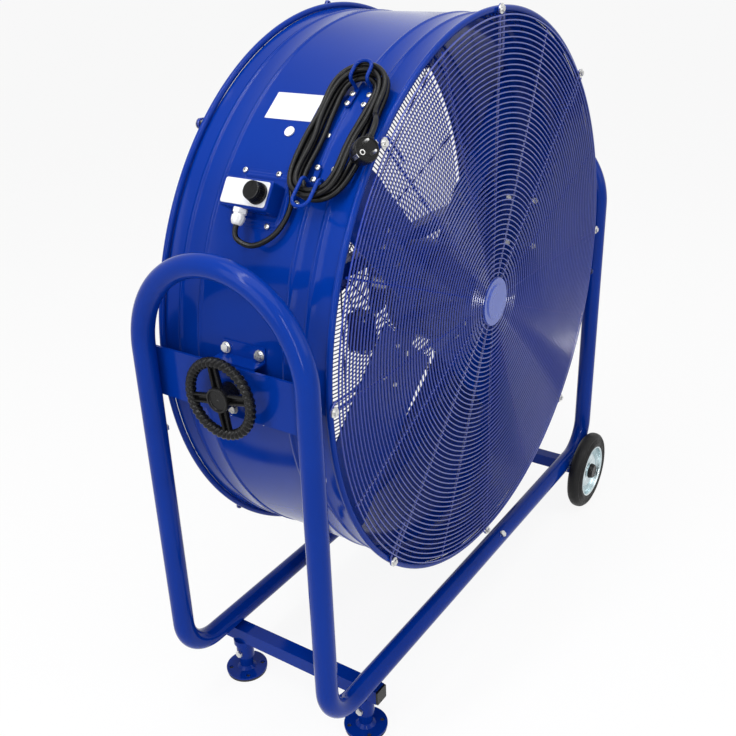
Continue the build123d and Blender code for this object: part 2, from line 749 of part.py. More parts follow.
with BuildPart() as drum_shell:
    ridges = []
    for place in ridge_places:
        ridges += [(drum_r, place - ridge_width / 2), (drum_r + ridge_height, place),
                   (drum_r, place + ridge_width / 2)]
    with BuildSketch(half_plane()):
        with BuildLine():
            Polyline((sheet_end_r, -sheet_end_y), (drum_r, -flare_y), *ridges, (drum_r, flare_y),
                     (sheet_end_r, sheet_end_y), (sheet_end_r - drum_wall, sheet_end_y),
                     (drum_r - drum_wall, flare_y), (drum_r - drum_wall, -flare_y),
                     (sheet_end_r - drum_wall, -sheet_end_y), close=True)
        make_face()
        with Locations((bead_ring_r, bead_y), (bead_ring_r, -bead_y)):
            RegularPolygon(bead_r, 6)
    revolve(axis=drum_axis)
    with Locations(*[rim_place(side, turn, drum_half_depth) for side in (-1, 1)
                     for turn in clip_turns]):
        Hole(clip_screw_r + hole_clearance, depth=clip_screw_bite + 1)
    with Locations(*[place for side in (-1, 1)
                     for place in bracket_bolt_places(side, drum_r + 2)]):
        Hole(bracket_bolt_r + hole_clearance, depth=wall_cut)
    with Locations(*tab_screw_places(tab_inner_r)):
        Hole(tab_screw_r + hole_clearance, depth=wall_cut)
    with Locations(*[on_drum(turn, y, drum_r + 2) for turn, y in saddle_screw_spots]):
        Hole(saddle_screw_r + hole_clearance, depth=wall_cut)
    with Locations(*[on_drum(turn, y, drum_r + 2) for turn, y in hole_cap_spots]):
        Hole(hole_cap_r + hole_clearance, depth=wall_cut)
keep(drum_shell.part, "drum_shell")

with BuildPart() as hole_caps:
    cap_seats = [on_drum(turn, y, drum_r + running_gap) for turn, y in hole_cap_spots]
    with Locations(*cap_seats):
        Cylinder(hole_cap_r + hole_cap_lip, 2, align=UP)
        Cylinder(hole_cap_r, drum_wall + 2, align=DOWN)
keep(hole_caps.part, "hole_caps")


# ---------------------------------------------------------------- grilles

spoke_y = drum_half_depth + running_gap        # face of the spokes that looks at the rim
ring_y = spoke_y + spoke_wire - weld_sink
ring_front_y = ring_y + ring_wire
spoke_end_r = ring_last_r + 3
ring_step = (ring_last_r - ring_first_r) / (ring_count - 1)
ring_numbers = sorted({*range(0, ring_count, ring_stride), ring_count - 1}, reverse=True)
ring_radii = [ring_first_r + ring_step * k for k in ring_numbers]


def grille_plane(side, y):
    """Across the drum on one side: local x is +X, and the normal points away from the drum."""
    return Plane(origin=(0, side * y, axis_z), x_dir=(1, 0, 0), z_dir=(0, side, 0))


for side, name in ((-1, "front"), (1, "rear")):
    with BuildPart() as grille:
        with BuildSketch(grille_plane(side, ring_y)):
            for r in ring_radii:
                Circle(r + ring_wire / 2)
                Circle(r - ring_wire / 2, mode=Mode.SUBTRACT)
        extrude(amount=ring_wire)
        with BuildSketch(grille_plane(side, spoke_y)):
            with PolarLocations((spoke_inner_r + spoke_end_r) / 2, spoke_count, start_angle=90):
                Rectangle(spoke_end_r - spoke_inner_r, spoke_wire)
            with PolarLocations(clip_r - hairpin_length / 2, clip_count, start_angle=90):
                with Locations((0, hairpin_gap)):
                    Rectangle(hairpin_length, spoke_wire)
            with PolarLocations(clip_r, clip_count, start_angle=90):
                Circle(eye_r)
                with Locations((0, hairpin_gap / 2)):
                    Rectangle(spoke_wire, hairpin_gap)
                Circle(clip_screw_r + hole_clearance, mode=Mode.SUBTRACT)
        extrude(amount=spoke_wire)
    keep(grille.part, f"{name}_grille")

with BuildPart() as grille_hub_discs:
    for side in (-1, 1):
        with BuildSketch(half_plane()):
            with BuildLine():
                Polyline((0, side * ring_front_y), (hub_disc_r, side * ring_front_y),
                         (hub_disc_r, side * (ring_front_y + hub_disc_height / 2)),
                         (0.76 * hub_disc_r, side * (ring_front_y + hub_disc_height / 2)),
                         (0.72 * hub_disc_r, side * (ring_front_y + hub_disc_height)),
                         (0, side * (ring_front_y + hub_disc_height)), close=True)
            make_face()
        revolve(axis=drum_axis)
keep(grille_hub_discs.part, "grille_hub_discs")

grille_screws = screw_group([rim_place(side, turn, spoke_y + spoke_wire) for side in (-1, 1)
                             for turn in clip_turns],
                            clip_screw_r, spoke_wire + clip_screw_bite, head_m6,
                            washer=(eye_r, 1.5))
keep(grille_screws.part, "grille_screws")


# ---------------------------------------------------------------- motor and its carrier

can_front = rotor_y - motor_half_length
can_rear = rotor_y + motor_half_length
cover_thickness = 5.0
can_chamfer = 5.0
bearing_outer_r = 20.0
bearing_width = 14.0
boss_r = 30.0
carrier_back = carrier_y
plate_front = carrier_back - carrier_plate
stator_r = motor_r - motor_wall - 1.0
winding_r = 75.0
winding_length = 8.0              # past each end of the laminations


def turned(profile):
    """Piece turned about the drum axis from points of radius and y."""
    with BuildPart() as piece:
        with BuildSketch(half_plane()):
            with BuildLine():
                Polyline(*profile, close=True)
            make_face()
        revolve(axis=drum_axis)
    return piece


front_seat = can_front + cover_thickness + 1
rear_seat = can_rear - 1
motor_can = turned([(0, can_front), (motor_r - can_chamfer, can_front),
                    (motor_r, can_front + can_chamfer),
                    (motor_r, can_rear - cover_thickness),
                    (motor_r - motor_wall, can_rear - cover_thickness),
                    (motor_r - motor_wall, front_seat), (boss_r, front_seat),
                    (boss_r, front_seat + bearing_width + 2),
                    (bearing_outer_r, front_seat + bearing_width + 2),
                    (bearing_outer_r, front_seat), (0, front_seat)])
keep(motor_can.part, "motor_can")

motor_end_cover = turned([(spindle_r + 2, can_rear), (motor_r, can_rear),
                          (motor_r, can_rear - cover_thickness),
                          (boss_r, can_rear - cover_thickness),
                          (boss_r, rear_seat - bearing_width - 2),
                          (bearing_outer_r, rear_seat - bearing_width - 2),
                          (bearing_outer_r, rear_seat), (spindle_r + 2, rear_seat)])
keep(motor_end_cover.part, "motor_end_cover")

bearing_starts = (front_seat + 1, rear_seat - bearing_width - 1)
with BuildPart() as motor_bearings:
    for start in bearing_starts:
        with BuildSketch(Plane(origin=(0, start, axis_z), z_dir=(0, 1, 0))):
            Circle(bearing_outer_r - 0.1)
            Circle(spindle_r + shaft_clearance, mode=Mode.SUBTRACT)
        extrude(amount=bearing_width)
keep(motor_bearings.part, "motor_bearings")

motor_spindle = turned([(0, front_seat + 1), (spindle_r, front_seat + 1),
                        (spindle_r, can_rear + 3), (spindle_boss_r, can_rear + 3),
                        (spindle_boss_r, plate_front), (0, plate_front)])
keep(motor_spindle.part, "motor_spindle")

stator_front = front_seat + bearing_width + 6
stator_back = rear_seat - bearing_width - 6
motor_stator = turned([(spindle_r + 0.1, stator_front), (winding_r, stator_front),
                       (winding_r, stator_front + winding_length),
                       (stator_r, stator_front + winding_length),
                       (stator_r, stator_back - winding_length),
                       (winding_r, stator_back - winding_length),
                       (winding_r, stator_back), (spindle_r + 0.1, stator_back)])
keep(motor_stator.part, "motor_stator")

pad_left = -64.0
pad_right = -11.0
pad_bottom = -154.0
pad_top = -66.0
pad_middle = (pad_left + pad_right) / 2
pad_centre = (pad_bottom + pad_top) / 2
carrier_plate_bottom = -75.0
carrier_plate_top = carrier_beam_z + carrier_beam / 2
beam_wall = 2.0
carrier_pad_r = drum_r - drum_wall - running_gap
carrier_pad_thickness = 4.0
carrier_corner_r = 4.0
carrier_pad_half = 45.0
terminal_screw_r = 2.5
terminal_screw_x = 20.0
terminal_screw_z = 36.0
terminal_screw_places = [Plane(origin=(pad_middle + a * terminal_screw_x, plate_front,
                                       axis_z + pad_centre + b * terminal_screw_z),
                               z_dir=(0, -1, 0)) for a in (-1, 1) for b in (-1, 1)]
beam_pads = [sheet_arc(side * degrees(acos(carrier_beam_z / carrier_pad_r)),
                       degrees(carrier_pad_half / carrier_pad_r),
                       carrier_pad_r - carrier_pad_thickness, carrier_pad_r) for side in (-1, 1)]

with BuildPart() as motor_carrier:
    with BuildSketch(Plane(origin=(-drum_r, carrier_y + carrier_beam / 2, axis_z + carrier_beam_z),
                           z_dir=(1, 0, 0))):
        Rectangle(carrier_beam, carrier_beam)
        Rectangle(carrier_beam - 2 * beam_wall, carrier_beam - 2 * beam_wall, mode=Mode.SUBTRACT)
    extrude(amount=2 * drum_r)
    with Locations(Plane(origin=(0, carrier_y, axis_z), z_dir=(0, 1, 0))):
        Cylinder(carrier_pad_r - 1, 4 * carrier_beam, mode=Mode.INTERSECT)
    with BuildSketch(drum_section(carrier_y + carrier_beam / 2 - carrier_pad_half)):
        add(beam_pads)
    extrude(amount=-2 * carrier_pad_half)
    with BuildSketch(drum_section(plate_front)) as plate_outline:
        with Locations((0, (carrier_plate_top + carrier_plate_bottom) / 2)):
            Rectangle(2 * carrier_plate_half_width, carrier_plate_top - carrier_plate_bottom)
        with Locations((pad_middle, pad_centre)):
            Rectangle(pad_right - pad_left, pad_top - pad_bottom)
        fillet(plate_outline.vertices(), carrier_corner_r)
    extrude(amount=-carrier_plate)
    with Locations(*terminal_screw_places):
        Hole(terminal_screw_r + hole_clearance, depth=carrier_plate)
keep(motor_carrier.part, "motor_carrier")

terminal_depth = 26.0
terminal_lid_depth = 7.0

with BuildPart() as terminal_box:
    with BuildSketch(Plane(origin=(pad_middle, carrier_back, axis_z + pad_centre),
                           x_dir=(1, 0, 0), z_dir=(0, 1, 0))):
        RectangleRounded(pad_right - pad_left - 4, pad_top - pad_bottom - 6, 6)
    extrude(amount=terminal_depth)
    with BuildSketch(Plane(origin=(pad_middle, carrier_back + terminal_depth,
                                   axis_z + pad_centre),
                           x_dir=(1, 0, 0), z_dir=(0, 1, 0))):
        RectangleRounded(pad_right - pad_left, pad_top - pad_bottom - 2, 7)
    extrude(amount=terminal_lid_depth, taper=10)
    with Locations(*terminal_screw_places):
        Hole(terminal_screw_r + hole_clearance, depth=carrier_plate + 12)
keep(terminal_box.part, "terminal_box")


# ---------------------------------------------------------------- blades

blade_turns = [45 + 360 / blade_count * k for k in range(blade_count)]
camber_r = (blade_half_chord ** 2 + blade_camber ** 2) / (2 * blade_camber)
camber_centre = blade_camber - camber_r
plan_half_chord = blade_half_chord * cos(radians(blade_pitch))
blade_bolt_r = 3.0
blade_bolt_radii = (arm_end_r - 100, arm_end_r - 30)
blade_bolt_across = 18.0
blade_bolt_spots = [(radius, side * blade_bolt_across) for radius in blade_bolt_radii
                    for side in (-1, 1)]
arm_inner_r = camber_r + blade_thickness + running_gap
head_lift = 0.1                   # a flat head on the hollow of the blade


def blade_plane(turn, radius):
    """Across a blade at a radius: local x runs along the chord, local y to the rear."""
    a = radians(turn)
    b = radians(blade_pitch)
    return Plane(origin=(radius * sin(a), rotor_y, axis_z + radius * cos(a)),
                 x_dir=(cos(a) * cos(b), sin(b), -sin(a) * cos(b)), z_dir=(sin(a), 0, cos(a)))


def blade_bolt_place(turn, radius, across):
    """On the hollow face of a blade, looking out of it."""
    section = blade_plane(turn, radius)
    rise = sqrt(camber_r ** 2 - across ** 2)
    seat = section.from_local_coords((across, camber_centre + rise, 0))
    out = section.x_dir * (-across / camber_r) - section.y_dir * (rise / camber_r)
    return Plane(origin=seat + out * head_lift, z_dir=out)


blade_bolt_places = [blade_bolt_place(turn, radius, across) for turn in blade_turns
                     for radius, across in blade_bolt_spots]

with BuildPart() as fan_blades:
    for turn in blade_turns:
        with BuildSketch(blade_plane(turn, blade_root_r)):
            with Locations((0, camber_centre)):
                Circle(camber_r + blade_thickness)
                Circle(camber_r, mode=Mode.SUBTRACT)
            with Locations((0, blade_camber)):
                Rectangle(2 * blade_half_chord + 6, 4 * blade_camber, mode=Mode.INTERSECT)
        extrude(amount=blade_tip_r - blade_root_r)
    with BuildSketch(drum_section(rotor_y - blade_half_chord)) as blade_plan:
        with PolarLocations((blade_root_r + drum_r) / 2, blade_count, start_angle=45):
            Rectangle(drum_r - blade_root_r, 2 * plan_half_chord)
        Circle(blade_tip_r, mode=Mode.INTERSECT)
        tips = [v for v in blade_plan.vertices() if hypot(v.X, v.Y) > blade_tip_r - 1]
        fillet(tips, blade_corner_r)
    extrude(amount=-2 * blade_half_chord, mode=Mode.INTERSECT)
    with Locations(*blade_bolt_places):
        Hole(blade_bolt_r + hole_clearance, depth=2 * blade_thickness)
keep(fan_blades.part, "fan_blades")

with BuildPart() as blade_spider:
    with BuildSketch(Plane(origin=(0, rotor_y - hub_ring_half_length, axis_z), z_dir=(0, 1, 0))):
        Circle(motor_r + 0.15 + hub_ring_thickness)
        Circle(motor_r + 0.15, mode=Mode.SUBTRACT)
    extrude(amount=2 * hub_ring_half_length)
    for turn in blade_turns:
        with BuildSketch(blade_plane(turn, motor_r + 2)):
            with Locations((0, camber_centre)):
                Circle(arm_inner_r + arm_thickness)
                Circle(arm_inner_r, mode=Mode.SUBTRACT)
            with Locations((0, blade_camber)):
                Rectangle(arm_width, 6 * arm_thickness, mode=Mode.INTERSECT)
        extrude(amount=arm_end_r - motor_r - 2)
    with Locations(*blade_bolt_places):
        Hole(blade_bolt_r + hole_clearance, depth=3 * (blade_thickness + arm_thickness))
keep(blade_spider.part, "blade_spider")

blade_stack = blade_thickness + running_gap + arm_thickness + running_gap
blade_nut = 5.0
blade_bolts = screw_group(blade_bolt_places, blade_bolt_r, blade_stack + blade_nut + 2, head_m6,
                          nut=(blade_stack, blade_nut))
keep(blade_bolts.part, "blade_bolts")


# ---------------------------------------------------------------- switch box

saddle_angle = -57.0
saddle_half_angle = 6.5
saddle_front = -28.0
saddle_back = 66.0
saddle_inner_r = drum_r + running_gap
saddle_sheet = sheet_arc(saddle_angle, saddle_half_angle, saddle_inner_r, saddle_outer_r)
saddle_screw_places = [on_drum(turn, y, saddle_outer_r) for turn, y in saddle_screw_spots]
shaft_r = 4.0
shaft_reach = 16.0                # into the box
knob_skirt = knob_height / 4
knob_flats = 18
knob_local_y = knob_y - box_y
box_face_r = drum_r + box_height
faceplate_r = box_face_r + faceplate_thickness
box_corner_r = 4.0
box_floor = 8.0                   # least thickness above the saddle
saddle_clear_r = saddle_outer_r + running_gap
knob_seat_r = faceplate_r + running_gap

with BuildPart() as box_saddle:
    with BuildSketch(drum_section(saddle_front)):
        add(saddle_sheet)
    extrude(amount=saddle_front - saddle_back)
    with Locations(*saddle_screw_places):
        Hole(saddle_screw_r + hole_clearance, depth=2 * saddle_thickness)
keep(box_saddle.part, "box_saddle")

with BuildPart() as switch_box:
    with BuildSketch(on_drum(box_angle, box_y, box_face_r)):
        RectangleRounded(box_width, box_length, box_corner_r)
    extrude(amount=-2 * box_height)
    with BuildSketch(on_drum(box_angle, box_y, box_face_r)):
        RectangleRounded(box_width - 2 * box_wall, box_length - 2 * box_wall,
                         box_corner_r - box_wall)
    extrude(amount=saddle_clear_r + box_floor - box_face_r, mode=Mode.SUBTRACT)
    with Locations(Plane(origin=(0, box_y, axis_z), z_dir=(0, 1, 0))):
        Cylinder(saddle_clear_r, 2 * box_length, mode=Mode.SUBTRACT)
keep(switch_box.part, "switch_box")

with BuildPart() as switch_faceplate:
    with BuildSketch(on_drum(box_angle, box_y, box_face_r)):
        RectangleRounded(box_width - 2 * faceplate_border, box_length - 2 * faceplate_border,
                         box_corner_r - faceplate_border / 2)
        with Locations((0, knob_local_y)):
            Circle(shaft_r + hole_clearance, mode=Mode.SUBTRACT)
    extrude(amount=faceplate_thickness)
keep(switch_faceplate.part, "switch_faceplate")

with BuildPart() as selector_knob:
    with BuildSketch(on_drum(box_angle, knob_y, knob_seat_r)):
        Circle(knob_r)
    extrude(amount=knob_skirt)
    with BuildSketch(on_drum(box_angle, knob_y, knob_seat_r + knob_skirt)):
        RegularPolygon(knob_r - 1.5, knob_flats)
    extrude(amount=knob_height - knob_skirt, taper=4)
    with BuildSketch(on_drum(box_angle, knob_y, knob_seat_r)):
        Circle(shaft_r)
    extrude(amount=-(knob_seat_r - box_face_r + shaft_reach))
keep(selector_knob.part, "selector_knob")

gland_side = on_drum(box_angle, gland_y, drum_r + gland_height)
gland_out = -gland_side.x_dir
gland_start = gland_side.origin + gland_out * (box_width / 2)
gland_hex_length = 8.0
gland_dome_length = gland_length - 2 * gland_hex_length

with BuildPart() as cable_gland:
    with BuildSketch(Plane(origin=gland_start, z_dir=gland_out)):
        RegularPolygon(gland_r + 1, 6)
    extrude(amount=gland_hex_length)
    with BuildSketch(Plane(origin=gland_start + gland_out * gland_hex_length, z_dir=gland_out)):
        Circle(gland_r - 1)
    extrude(amount=gland_hex_length)
    with BuildSketch(Plane(origin=gland_start + gland_out * 2 * gland_hex_length,
                           z_dir=gland_out)):
        Circle(gland_r)
    extrude(amount=gland_dome_length, taper=18)
keep(cable_gland.part, "cable_gland")

with BuildPart() as drum_screws:
    add(screw_group(saddle_screw_places, saddle_screw_r, 8, head_m5).part)
    add(screw_group(tab_screw_places(tab_outer_r), tab_screw_r, 10, head_m5).part)
    add(screw_group(terminal_screw_places, terminal_screw_r, carrier_plate + 10, head_m5).part)
keep(drum_screws.part, "drum_screws")


# ---------------------------------------------------------------- cord and its hooks

cord_r = cord_d / 2


def hank_point(x, y, z=0.0):
    """Point given along the hank, across it, and out from its lower layer."""
    return hank_plane.from_local_coords((x, y, hank_base_r + z))


def around(turn, y, radius):
    return on_drum(turn, y, radius).origin


def limp_radii(points):
    """Bend radii of a limp cord on a chain of straight runs."""
    radii = []
    for before, here, after in zip(points, points[1:], points[2:]):
        run = min((here - before).length, (after - here).length)
        turn = radians((here - before).get_angle(after - here))
        radii.append(0.45 * run / tan(turn / 2))
    return radii


def cord_piece(points):
    """One free stretch of cord."""
    radii = limp_radii(points)
    print("cord radii", [round(r, 1) for r in radii])
    with BuildPart() as piece:
        with BuildLine() as path:
            FilletPolyline(*points, radius=radii)
        with BuildSketch(Plane(origin=path.line @ 0, z_dir=path.line % 0)):
            RegularPolygon(cord_r, cord_sides)
        sweep()
    length = sum(edge.length for edge in path.edges())
    print("cord length", round(length, 1), "volume ratio",
          round(piece.part.volume / (pi * cord_r ** 2 * length), 4))
    return piece


lead_start = gland_start + gland_out * gland_length
lead_first_run = 26.0
lead_points = [lead_start, lead_start + gland_out * lead_first_run,
               around(-67.0, 4.0, drum_r + 26), around(-67.2, -23.0, drum_r + 19),
               around(-64.2, -57.0, drum_r + 11), around(-58.7, -68.0, drum_r + 10),
               hank_point(-hank_half_run - 30, hank_outer_r),
               hank_point(-hank_half_run, hank_outer_r)]
cord_lead = cord_piece(lead_points)
keep(cord_lead.part, "cord_lead")

hank_climb = cord_d + 0.5         # from one layer of the hank to the next
hank_tail_x = 60.0
turn_shift = hank_pitch / 2
radii_below = [hank_outer_r - hank_pitch * k for k in range(hank_turns_below)]
radii_above = radii_below[::-1][1:1 + hank_turns_above]


def right_turn(r, z):
    """Half turn at the +x end, from y = r down to y = -r."""
    return ThreePointArc(hank_point(hank_half_run, r, z), hank_point(hank_half_run + r, 0, z),
                         hank_point(hank_half_run, -r, z))


def left_turn(y_from, y_to, z):
    """Half turn at the -x end, from the lower run at y_from up to the run at y_to."""
    middle = (y_from + y_to) / 2
    r = (y_to - y_from) / 2
    return ThreePointArc(hank_point(-hank_half_run, y_from, z),
                         hank_point(-hank_half_run - r, middle, z),
                         hank_point(-hank_half_run, y_to, z))


climb_y = -radii_below[-1]
climb_middle = hank_point(0, climb_y, hank_climb / 2)

with BuildPart() as cord_hank:
    with BuildLine() as hank_path:
        for k, r in enumerate(radii_below):
            Line(hank_point(-hank_half_run, r), hank_point(hank_half_run, r))
            right_turn(r, 0)
            if k + 1 < hank_turns_below:
                Line(hank_point(hank_half_run, -r), hank_point(-hank_half_run, -r))
                left_turn(-r, radii_below[k + 1], 0)
        climb_start = TangentArc(hank_point(hank_half_run, climb_y), climb_middle,
                                 tangent=hank_plane.x_dir * -1)
        TangentArc(climb_middle, hank_point(-hank_half_run, climb_y, hank_climb),
                   tangent=climb_start % 1)
        low = climb_y
        for k, r in enumerate(radii_above):
            left_turn(low, r, hank_climb)
            Line(hank_point(-hank_half_run, r, hank_climb), hank_point(hank_half_run, r, hank_climb))
            right_turn(r, hank_climb)
            low = -r
            end_x = -hank_half_run if k + 1 < hank_turns_above else hank_tail_x
            Line(hank_point(hank_half_run, -r, hank_climb), hank_point(end_x, -r, hank_climb))
    with BuildSketch(Plane(origin=hank_path.line @ 0, x_dir=hank_plane.y_dir,
                           z_dir=hank_path.line % 0)):
        RegularPolygon(cord_r, cord_sides)
    sweep()
keep(cord_hank.part, "cord_hank")
print("hank length", round(sum(edge.length for edge in hank_path.edges()), 1), "least gap",
      round(min(hank_pitch, hank_climb) - cord_d, 2), "volume", round(cord_hank.part.volume, 0))

plug_r = 19.5
plug_face_depth = 17.0            # from the cord's entry to the pin face
plug_back_depth = 18.0
plug_back_taper = 12.0
plug_lift = 53.0                  # of the pin face, from the drum's axis outwards
plug_height = 33.0                # of the cord's entry above the hank's lower layer
plug_entry_y = -72.0
plug_entry_x = -24.0
plug_boss_r = cord_r + 3
plug_boss_length = 9.0
plug_x = plug_entry_x - plug_boss_length - plug_r
pin_r = 2.4
pin_length = 19.0
pin_spacing = 19.0

tail_run = 28.0                   # first and last straight run of the tail
tail_points = [hank_point(hank_tail_x, -hank_outer_r, hank_climb),
               hank_point(hank_tail_x - tail_run, -hank_outer_r, hank_climb),
               hank_point(plug_entry_x + tail_run, plug_entry_y, plug_height),
               hank_point(plug_entry_x, plug_entry_y, plug_height)]
cord_tail = cord_piece(tail_points)
keep(cord_tail.part, "cord_tail")

plug_middle = hank_point(plug_x, plug_entry_y, plug_height)
plug_out = (hank_plane.z_dir * sin(radians(plug_lift))
            - hank_plane.y_dir * cos(radians(plug_lift)))

with BuildPart() as mains_plug:
    with BuildSketch(Plane(origin=plug_middle, z_dir=plug_out)):
        Circle(plug_r)
    extrude(amount=plug_face_depth)
    with BuildSketch(Plane(origin=plug_middle, z_dir=-plug_out)):
        Circle(plug_r)
    extrude(amount=plug_back_depth, taper=plug_back_taper)
    with BuildSketch(Plane(origin=plug_middle, z_dir=hank_plane.x_dir)):
        Circle(plug_boss_r)
    extrude(amount=plug_r + plug_boss_length)
    with BuildSketch(Plane(origin=plug_middle + plug_out * plug_face_depth,
                           x_dir=hank_plane.x_dir, z_dir=plug_out)):
        with Locations((-pin_spacing / 2, 0), (pin_spacing / 2, 0)):
            Circle(pin_r)
    extrude(amount=pin_length)
keep(mains_plug.part, "mains_plug")

hook_z = hank_climb + cord_r + hook_wire / 2 + 1.5
tab_middle_turn = riser_turn - degrees((tab_length / 2 - tab_overhang) / drum_r)
tab_sheets = [sheet_arc(hank_angle + end * tab_middle_turn, degrees(tab_length / 2 / drum_r),
                        tab_inner_r, tab_outer_r) for end in (-1, 1)]
riser_foot = sqrt((tab_inner_r + tab_thickness / 2) ** 2 - riser_x ** 2) - hank_base_r

with BuildPart() as cord_hooks:
    for lane in (-1, 1):
        with BuildSketch(drum_section(hank_y + lane * hook_half_width - tab_width / 2)):
            add(tab_sheets)
        extrude(amount=-tab_width)
    for end in (-1, 1):
        tip_x = end * (riser_x + hook_length)
        with BuildLine() as path:
            FilletPolyline(hank_point(end * riser_x, -hook_half_width, riser_foot),
                           hank_point(end * riser_x, -hook_half_width, hook_z),
                           hank_point(tip_x, -hook_half_width, hook_z),
                           hank_point(tip_x, hook_half_width, hook_z),
                           hank_point(end * riser_x, hook_half_width, hook_z),
                           hank_point(end * riser_x, hook_half_width, riser_foot),
                           radius=[8, hook_half_width - 1, hook_half_width - 1, 8])
        with BuildSketch(Plane(origin=path.line @ 0, z_dir=path.line % 0)):
            RegularPolygon(hook_wire / 2, 6)
        sweep(path=path.line)
    with Locations(*tab_screw_places(tab_outer_r + 1)):
        Hole(tab_screw_r + hole_clearance, depth=2 * tab_thickness)
keep(cord_hooks.part, "cord_hooks")
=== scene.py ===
import json
from math import cos, pi, radians, sin, sqrt, tan

import bmesh
import bpy
from mathutils import Matrix, Vector


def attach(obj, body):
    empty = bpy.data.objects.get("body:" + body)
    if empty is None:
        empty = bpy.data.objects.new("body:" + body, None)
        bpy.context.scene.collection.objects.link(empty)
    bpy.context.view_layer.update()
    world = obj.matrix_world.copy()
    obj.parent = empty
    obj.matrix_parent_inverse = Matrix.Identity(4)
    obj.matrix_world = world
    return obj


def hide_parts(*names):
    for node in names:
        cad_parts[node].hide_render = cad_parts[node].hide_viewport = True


# A mobile drum fan. Everything is in metres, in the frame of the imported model: +X to the wheels,
# -Y to the front grille, +Z up.

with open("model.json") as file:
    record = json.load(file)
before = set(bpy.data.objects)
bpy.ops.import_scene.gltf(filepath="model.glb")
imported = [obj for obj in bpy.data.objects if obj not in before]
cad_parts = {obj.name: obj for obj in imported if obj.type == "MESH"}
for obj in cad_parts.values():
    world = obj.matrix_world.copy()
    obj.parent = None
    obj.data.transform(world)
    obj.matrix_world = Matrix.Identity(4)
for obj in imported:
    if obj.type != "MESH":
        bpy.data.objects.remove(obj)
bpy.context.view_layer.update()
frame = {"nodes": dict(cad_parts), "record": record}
nodes = frame["nodes"]

AXIS_Z, DRUM_R = 0.749, 0.530


# ---------------------------------------------------------------- camera

CAMERA_TURN, CAMERA_RISE, CAMERA_ROLL = -0.971, 0.439, -0.034
TARGET = Vector((-0.17358, 0.0, 0.6316))
DISTANCE = 1.870982
SENSOR = 36.0
FOCAL_PX, PHOTO_PX = 944.2, 736.0


def add_camera():
    """Camera placed to match the photograph."""
    back = Vector((sin(CAMERA_TURN) * cos(CAMERA_RISE), -cos(CAMERA_TURN) * cos(CAMERA_RISE),
                   sin(CAMERA_RISE)))
    level = (-back).cross(Vector((0, 0, 1))).normalized()
    rise = level.cross(-back)
    right = level * cos(CAMERA_ROLL) + rise * sin(CAMERA_ROLL)
    top = rise * cos(CAMERA_ROLL) - level * sin(CAMERA_ROLL)
    eye = TARGET + back * DISTANCE
    data = bpy.data.cameras.new("camera")
    data.sensor_width = SENSOR
    data.lens = SENSOR * FOCAL_PX / PHOTO_PX
    camera = bpy.data.objects.new("camera", data)
    camera.matrix_world = Matrix(((right.x, top.x, back.x, eye.x),
                                  (right.y, top.y, back.y, eye.y),
                                  (right.z, top.z, back.z, eye.z), (0, 0, 0, 1)))
    bpy.context.scene.collection.objects.link(camera)
    bpy.context.scene.camera = camera


add_camera()
bpy.context.scene.view_settings.view_transform = "Standard"


# ---------------------------------------------------------------- material helpers

class Nodes:
    """Shorthand for building one material."""

    def __init__(self, name):
        self.material = bpy.data.materials.new(name)
        self.material.use_nodes = True
        self.tree = self.material.node_tree
        self.shader = self.tree.nodes["Principled BSDF"]
        self.place = self.tree.nodes.new("ShaderNodeTexCoord").outputs["Object"]

    def add(self, kind, **values):
        node = self.tree.nodes.new(kind)
        for key, value in values.items():
            if hasattr(node, key):
                setattr(node, key, value)
            else:
                node.inputs[key.replace("_", " ")].default_value = value
        return node

    def link(self, source, target):
        self.tree.links.new(source, target)

    def noise(self, scale, detail=3.0, roughness=0.5):
        node = self.add("ShaderNodeTexNoise", Scale=scale, Detail=detail, Roughness=roughness)
        self.link(self.place, node.inputs["Vector"])
        return node.outputs["Fac"]

    def ramp(self, source, low, high, low_value, high_value):
        node = self.add("ShaderNodeMapRange")
        self.link(source, node.inputs["Value"])
        for name, value in zip(("From Min", "From Max", "To Min", "To Max"),
                               (low, high, low_value, high_value)):
            node.inputs[name].default_value = value
        return node.outputs["Result"]

    def mix(self, fac, first, second):
        node = self.add("ShaderNodeMix", data_type="RGBA")
        self.link(fac, node.inputs["Factor"])
        for socket, value in ((node.inputs[6], first), (node.inputs[7], second)):
            socket.default_value = (*value, 1)
        return node.outputs[2]

    def bump(self, height, strength, distance, under=None):
        node = self.add("ShaderNodeBump", Strength=strength, Distance=distance)
        self.link(height, node.inputs["Height"])
        if under is not None:
            self.link(under, node.inputs["Normal"])
        return node.outputs["Normal"]

    def finish(self, color, roughness, normal, metallic=0.0, coat=0.0, coat_roughness=0.05,
               specular=0.5):
        self.link(color, self.shader.inputs["Base Color"])
        self.link(roughness, self.shader.inputs["Roughness"])
        self.link(normal, self.shader.inputs["Normal"])
        self.shader.inputs["Metallic"].default_value = metallic
        self.shader.inputs["Coat Weight"].default_value = coat
        self.shader.inputs["Coat Roughness"].default_value = coat_roughness
        self.shader.inputs["Specular IOR Level"].default_value = specular
        return self.material


def painted(name, deep, bright, rough=(0.09, 0.15), coat=0.0, peel=260.0, peel_strength=0.035,
            specular=0.11):
    """Gloss powder coat: fine orange peel, broad drift of colour and gloss."""
    n = Nodes(name)
    color = n.mix(n.ramp(n.noise(3.0, 3.0), 0.3, 0.7, 0.0, 1.0), deep, bright)
    roughness = n.ramp(n.noise(18.0, 4.0), 0.3, 0.7, *rough)
    peel_bump = n.bump(n.noise(peel, 2.0), peel_strength, 0.0006)
    normal = n.bump(n.noise(9.0, 2.0), 0.02, 0.006, under=peel_bump)
    return n.finish(color, roughness, normal, coat=coat, coat_roughness=0.06, specular=specular)


